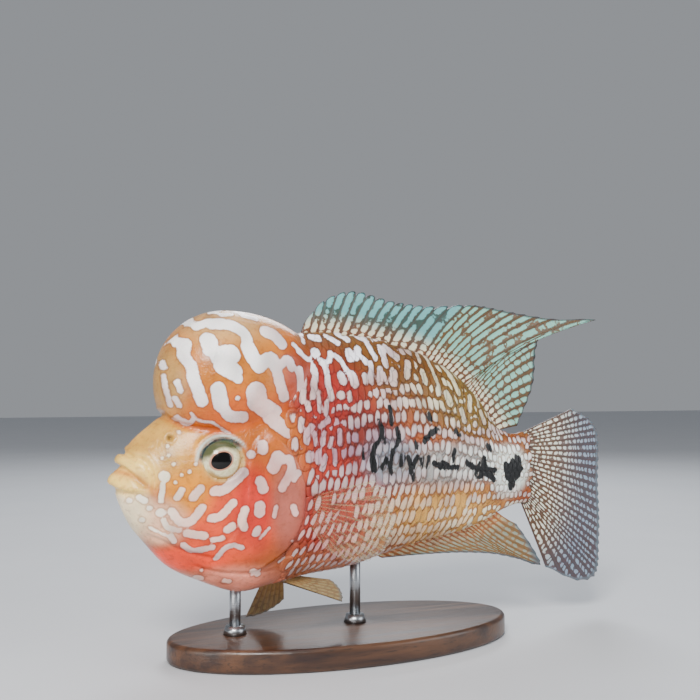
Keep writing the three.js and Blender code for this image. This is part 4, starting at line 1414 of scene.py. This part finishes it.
clear_paint = fin_paint(
    "clear fin web",
    web=("#c4ac7c", "#c0b28c", "#c0b28c"), dash=("#c4ac7c", "#c0b28c", "#c0b28c"),
    ray="#8c7444", margin="#b4b4a4", clear=(0.03, 0.24),
)

# %% The fins of the back, the tail and the belly
DORSAL_RAYS = [(0, 0), (0.6, 15), (0.82, 25), (1, 38)]
DORSAL_DASHES = [
    (0, 5, 3, 14), (0.55, 7, 3, 14), (0.68, 11, 3.2, 15),
    (0.81, 15, 3.4, 13), (0.88, 10, 3, 4), (1, 8, 3, 2.8),
]
TAIL_RAYS = [(0, 0), (0.78, 20), (1, 27)]
TAIL_DASHES = [(0, 24, 3.4, 2.2), (0.5, 26, 3.0, 2.2), (1, 22, 3.4, 2.4)]
ANAL_RAYS = [(0, 0), (0.7, 14), (1, 23)]
ANAL_DASHES = [(0, 8, 2.8, 6), (1, 8, 2.8, 4)]
dorsal = fin_mesh("dorsal_web", dorsal_at, DORSAL_RAYS, 64, 0.6, DORSAL_DASHES, spiny=0.6, lobe=0.1)
piece("dorsal_web", dorsal, dorsal_paint, "fin", "dorsal_fin")
caudal = fin_mesh("tail_web", caudal_at, TAIL_RAYS, 56, 0.55, TAIL_DASHES, tint=(14, 38))
piece("tail_web", caudal, caudal_paint, "fin", "caudal_fin")
anal = fin_mesh("anal_web", anal_at, ANAL_RAYS, 34, 0.55, ANAL_DASHES)
piece("anal_web", anal, anal_paint, "fin_warm", "anal_fin")

# %% The paired fins
PECTORAL_RAYS, PECTORAL_DASHES = [(0, 0), (1, 13)], [(0, 9, 4, 4), (1, 9, 4, 4)]
PELVIC_RAYS, PELVIC_DASHES = [(0, 0), (1, 6)], [(0, 9, 3, 3), (1, 9, 3, 3)]
for name, side in SIDES.items():
    web_name = "pectoral_web_" + name
    fan = fin_mesh(web_name, pectoral_at(side), PECTORAL_RAYS, 34, 0.45, PECTORAL_DASHES)
    piece(web_name, fan, clear_paint, "fin_clear", "pectoral_fin_" + name)
    web_name = "pelvic_web_" + name
    fan = fin_mesh(web_name, pelvic_at(name), PELVIC_RAYS, 30, 0.55, PELVIC_DASHES)
    piece(web_name, fan, pelvic_paint, "fin_warm", "pelvic_fin_" + name)

# %% [markdown]
# ## Eyes
# A cichlid's eye has no lids. A black pupil, a little wider than high, sits in a cream iris with a pink
# inner line, and the whole is under a clear cornea. A taxidermist sets a glass eye painted from behind.
# Here pupil and iris are both painted on the ball, by their distance from their own middles, and the
# coat of the shader gives the cornea's wet highlight.

# %% Eyeballs
PLAY = 0.05
PUPIL = dict(x=-52.1, z=0.7, wide=3.4, tall=2.6, tilt=math.radians(22))
FAR_FROM_PUPIL = 6


def eye_at(side):
    def at(around, along):
        turn, tilt = 2 * math.pi * around, math.pi * along
        x = EYE["x"] + (EYE["radius"] - PLAY) * np.sin(tilt) * np.cos(turn)
        z = EYE["z"] + (EYE["radius"] - PLAY) * np.sin(tilt) * np.sin(turn)
        return place(x, side * (EYE["middle"] + (EYE["depth"] - PLAY) * np.cos(tilt)), z)

    return at


def iris_paint():
    """Glass eye painted from behind: cream iris, pink inner line, green brow shade, clear gloss."""
    material, add = new_material("painted glass eye")
    out, height, pupil = (
        add("Attribute", out="Fac", attribute_name=kept) for kept in ("out", "height", "pupil")
    )
    where = add("TexCoord", out="Object")
    grain = add("TexNoise", {"Vector": where, "Scale": per_metre(0.9), "Detail": 4}, out="Fac")
    colour = airbrush(add, "#e8deb6", "#d2c898", (grain, 0.35, 0.65))
    # Below, the iris goes tan towards its edge, and above, green: height and out are in millimetres
    for heights, outs, code in (
        ((0.0, -3.0), (4.6, 5.5), "#b08c54"),
        ((1.0, 4.4), (3.9, 5.4), "#4e5136"),
    ):
        high = add("MapRange", (height, *heights), **SOFTLY)
        far = add("MapRange", (out, *outs), **SOFTLY)
        share = add("Math", (high, far), operation="MULTIPLY")
        colour = add("Mix", {SHARE: share, UNDER: colour, OVER: code}, **COLOURS)
    # Inside the line round the pupil, and inside the pupil, which ends where its attribute is 1
    for edge, inside, code in ((1.32, 1.18, "#b9836a"), (1.1, 1.02, "#040303")):
        colour = airbrush(add, colour, code, (pupil, edge, inside))
    roughness = add("MapRange", (grain, 0.3, 0.7, 0.1, 0.16))
    finish_with(
        add, colour, roughness, grain, 0.05,
        Coat_Weight=0.35, Coat_Roughness=0.03, Specular_IOR_Level=0.2,
    )
    return material


iris = iris_paint()
for name, side in SIDES.items():
    ball = globe("eyeball_" + name, 96, 64, eye_at(side))
    x, y, z = unplace(points_of(ball))
    aft, up = x - PUPIL["x"], z - PUPIL["z"]
    cosine, sine = math.cos(PUPIL["tilt"]), math.sin(PUPIL["tilt"])
    along_it = (aft * cosine + up * sine) / PUPIL["wide"]
    up_it = (up * cosine - aft * sine) / PUPIL["tall"]
    back_half = np.abs(y) < EYE["middle"]
    store(ball, "pupil", np.hypot(along_it, up_it) + FAR_FROM_PUPIL * back_half)
    store(ball, "out", np.hypot(x - EYE["x"], z - EYE["z"]))
    store(ball, "height", z - EYE["z"] - 0.3 * (x - EYE["x"]))
    piece("eyeball_" + name, ball, iris, "eye", "eye_" + name)

# %% [markdown]
# ## The stand
# The photograph shows the fish swimming, so the stand is a plain one: an oval of dark stained wood with
# a rounded rim, and two satin steel rods, each in a small collar. The frame's plate has few sides, so a
# finer one takes its place. A circle stretched to the plate's size and raised to its height keeps one
# clean rim to round, where a box cut to an oval would not.

# %% The base plate
BASE_BEVEL = 1.6 * MM
LEVEL = 1e-7
low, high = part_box("stand_base")
base = bmesh.new()
bmesh.ops.create_circle(base, cap_ends=True, segments=160, radius=1)
bmesh.ops.scale(base, verts=base.verts[:], vec=(high[0], high[1], 1))
bmesh.ops.translate(base, verts=base.verts[:], vec=(0, 0, low[2]))
raised = bmesh.ops.extrude_face_region(base, geom=base.faces[:], use_keep_orig=True)
upper = [v for v in raised["geom"] if isinstance(v, bmesh.types.BMVert)]
bmesh.ops.translate(base, verts=upper, vec=(0, 0, high[2] - low[2]))
bmesh.ops.recalc_face_normals(base, faces=base.faces[:])
rim = [e for e in base.edges if abs(e.verts[0].co.z - e.verts[1].co.z) < LEVEL]
bmesh.ops.bevel(
    base, geom=rim, offset=BASE_BEVEL, segments=4, profile=0.5, affect="EDGES", material=-1,
    clamp_overlap=True,
)
base_mesh = to_mesh("base_plate", base)
print("base plate", round(2 * high[0] / MM), "by", round(2 * high[1] / MM), "mm")


# %% Walnut and steel
def wood():
    """Stained and oiled walnut: long grain, fine pores, satin."""
    material, add = new_material("stained walnut")
    where = add("TexCoord", out="Object")
    long_way = add("Mapping", {"Vector": where, "Scale": (0.08, 1.0, 1.0)})
    rings = add("TexNoise", {"Vector": long_way, "Scale": per_metre(5), "Detail": 6}, out="Fac")
    pores = add("TexNoise", {"Vector": long_way, "Scale": per_metre(0.7), "Detail": 4}, out="Fac")
    colour = airbrush(add, "#2a1810", "#57371f", (rings, 0.3, 0.7))
    colour = airbrush(add, colour, "#170d08", (pores, 0.55, 0.7), 0.6)
    roughness = add("MapRange", (rings, 0.3, 0.7, 0.3, 0.45))
    finish_with(add, colour, roughness, pores, 0.2, Coat_Weight=0.25, Coat_Roughness=0.2)
    return material


def steel():
    """Brushed stainless steel, lines across the rod."""
    material, add = new_material("brushed stainless steel")
    where = add("TexCoord", out="Object")
    across = add("Mapping", {"Vector": where, "Scale": (0.1, 0.1, 4.0)})
    brush = add("TexNoise", {"Vector": across, "Scale": per_metre(0.6), "Detail": 5}, out="Fac")
    colour = add("Mix", {SHARE: brush, UNDER: "#8d9094", OVER: "#b7babd"}, **COLOURS)
    roughness = add("MapRange", (brush, 0.2, 0.8, 0.22, 0.42))
    finish_with(add, colour, roughness, brush, 0.08, Metallic=1.0)
    return material


walnut, stainless = wood(), steel()
piece("base_plate", base_mesh, walnut, "stand_wood", "stand_base")

# %% Rods, each in its collar
COLLAR = dict(radius=4.2 * MM, top_radius=3.36 * MM, height=3 * MM, sunk=0.3 * MM)
for node_name in ("stand_rod_front", "stand_rod_rear"):
    low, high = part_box(node_name)
    middle = [(a + b) / 2 for a, b in zip(low, high)]
    radius = (high[0] - low[0]) / 2
    tall = high[2] - low[2]
    rod = bmesh.new()
    bmesh.ops.create_cone(rod, cap_ends=True, segments=48, radius1=radius, radius2=radius, depth=tall)
    bmesh.ops.translate(rod, verts=rod.verts[:], vec=middle)
    collar = bmesh.ops.create_cone(
        rod, cap_ends=True, segments=64,
        radius1=COLLAR["radius"], radius2=COLLAR["top_radius"], depth=COLLAR["height"],
    )["verts"]
    collar_z = low[2] + COLLAR["height"] / 2 - COLLAR["sunk"]
    bmesh.ops.translate(rod, verts=collar, vec=(middle[0], middle[1], collar_z))
    rod_mesh = to_mesh(node_name, rod)
    piece(node_name.replace("stand_", "steel_"), rod_mesh, stainless, "stand_metal", node_name)

# %% [markdown]
# ## Floor and light
# The object is shown on a plain pale floor in soft studio light: a large key from the front left and
# above, a weaker fill from the right, a rim light from behind that draws the fins' edges, a faint one
# from straight above, a low one that opens up the chin and belly, and a pale world.


# %% Studio
def floor_paint():
    """Matt painted board, hardly clouded."""
    material, add = new_material("pale studio floor")
    where = add("TexCoord", out="Object")
    cloud = add("TexNoise", {"Vector": where, "Scale": per_metre(60), "Detail": 2}, out="Fac")
    colour = add("Mix", {SHARE: cloud, UNDER: "#c2c4c9", OVER: "#c9cbcf"}, **COLOURS)
    finish_with(add, colour, 0.7, None, 0)
    return material


floor = bmesh.new()
bmesh.ops.create_grid(floor, x_segments=1, y_segments=1, size=3)
floor_object = bpy.data.objects.new("floor", to_mesh("floor", floor, outward=False))
floor_object.data.materials.append(floor_paint())
bpy.context.scene.collection.objects.link(floor_object)

# Each light: its name, place, width in metres, watts and colour
LIGHTS = [
    ("key", (-0.4, -0.62, 0.62), 0.28, 11.5, (1.0, 0.98, 0.95)),
    ("fill", (0.6, -0.5, 0.3), 0.5, 2.8, (0.93, 0.97, 1.0)),
    ("rim", (0.3, 0.6, 0.6), 0.4, 4.5, (0.92, 0.96, 1.0)),
    ("top", (0.0, 0.0, 0.8), 0.5, 1.2, (1.0, 1.0, 1.0)),
    ("chin", (-0.5, -0.25, 0.06), 0.3, 1.3, (1.0, 0.98, 0.95)),
]
LIT_POINT = Vector((0, 0, AXIS_HEIGHT * MM))
for name, spot, size, watts, tint in LIGHTS:
    data = bpy.data.lights.new(name, "AREA")
    data.energy = watts
    data.size = size
    data.color = tint
    light = bpy.data.objects.new(name, data)
    light.location = spot
    light.rotation_euler = (LIT_POINT - Vector(spot)).to_track_quat("-Z", "Y").to_euler()
    bpy.context.scene.collection.objects.link(light)

world = bpy.data.worlds.new("studio")
world.use_nodes = True
background = world.node_tree.nodes["Background"]
background.inputs["Color"].default_value = (0.83, 0.87, 0.93, 1)
background.inputs["Strength"].default_value = 0.36
bpy.context.scene.world = world
print(len(LIGHTS), "lights, world", background.inputs["Strength"].default_value)
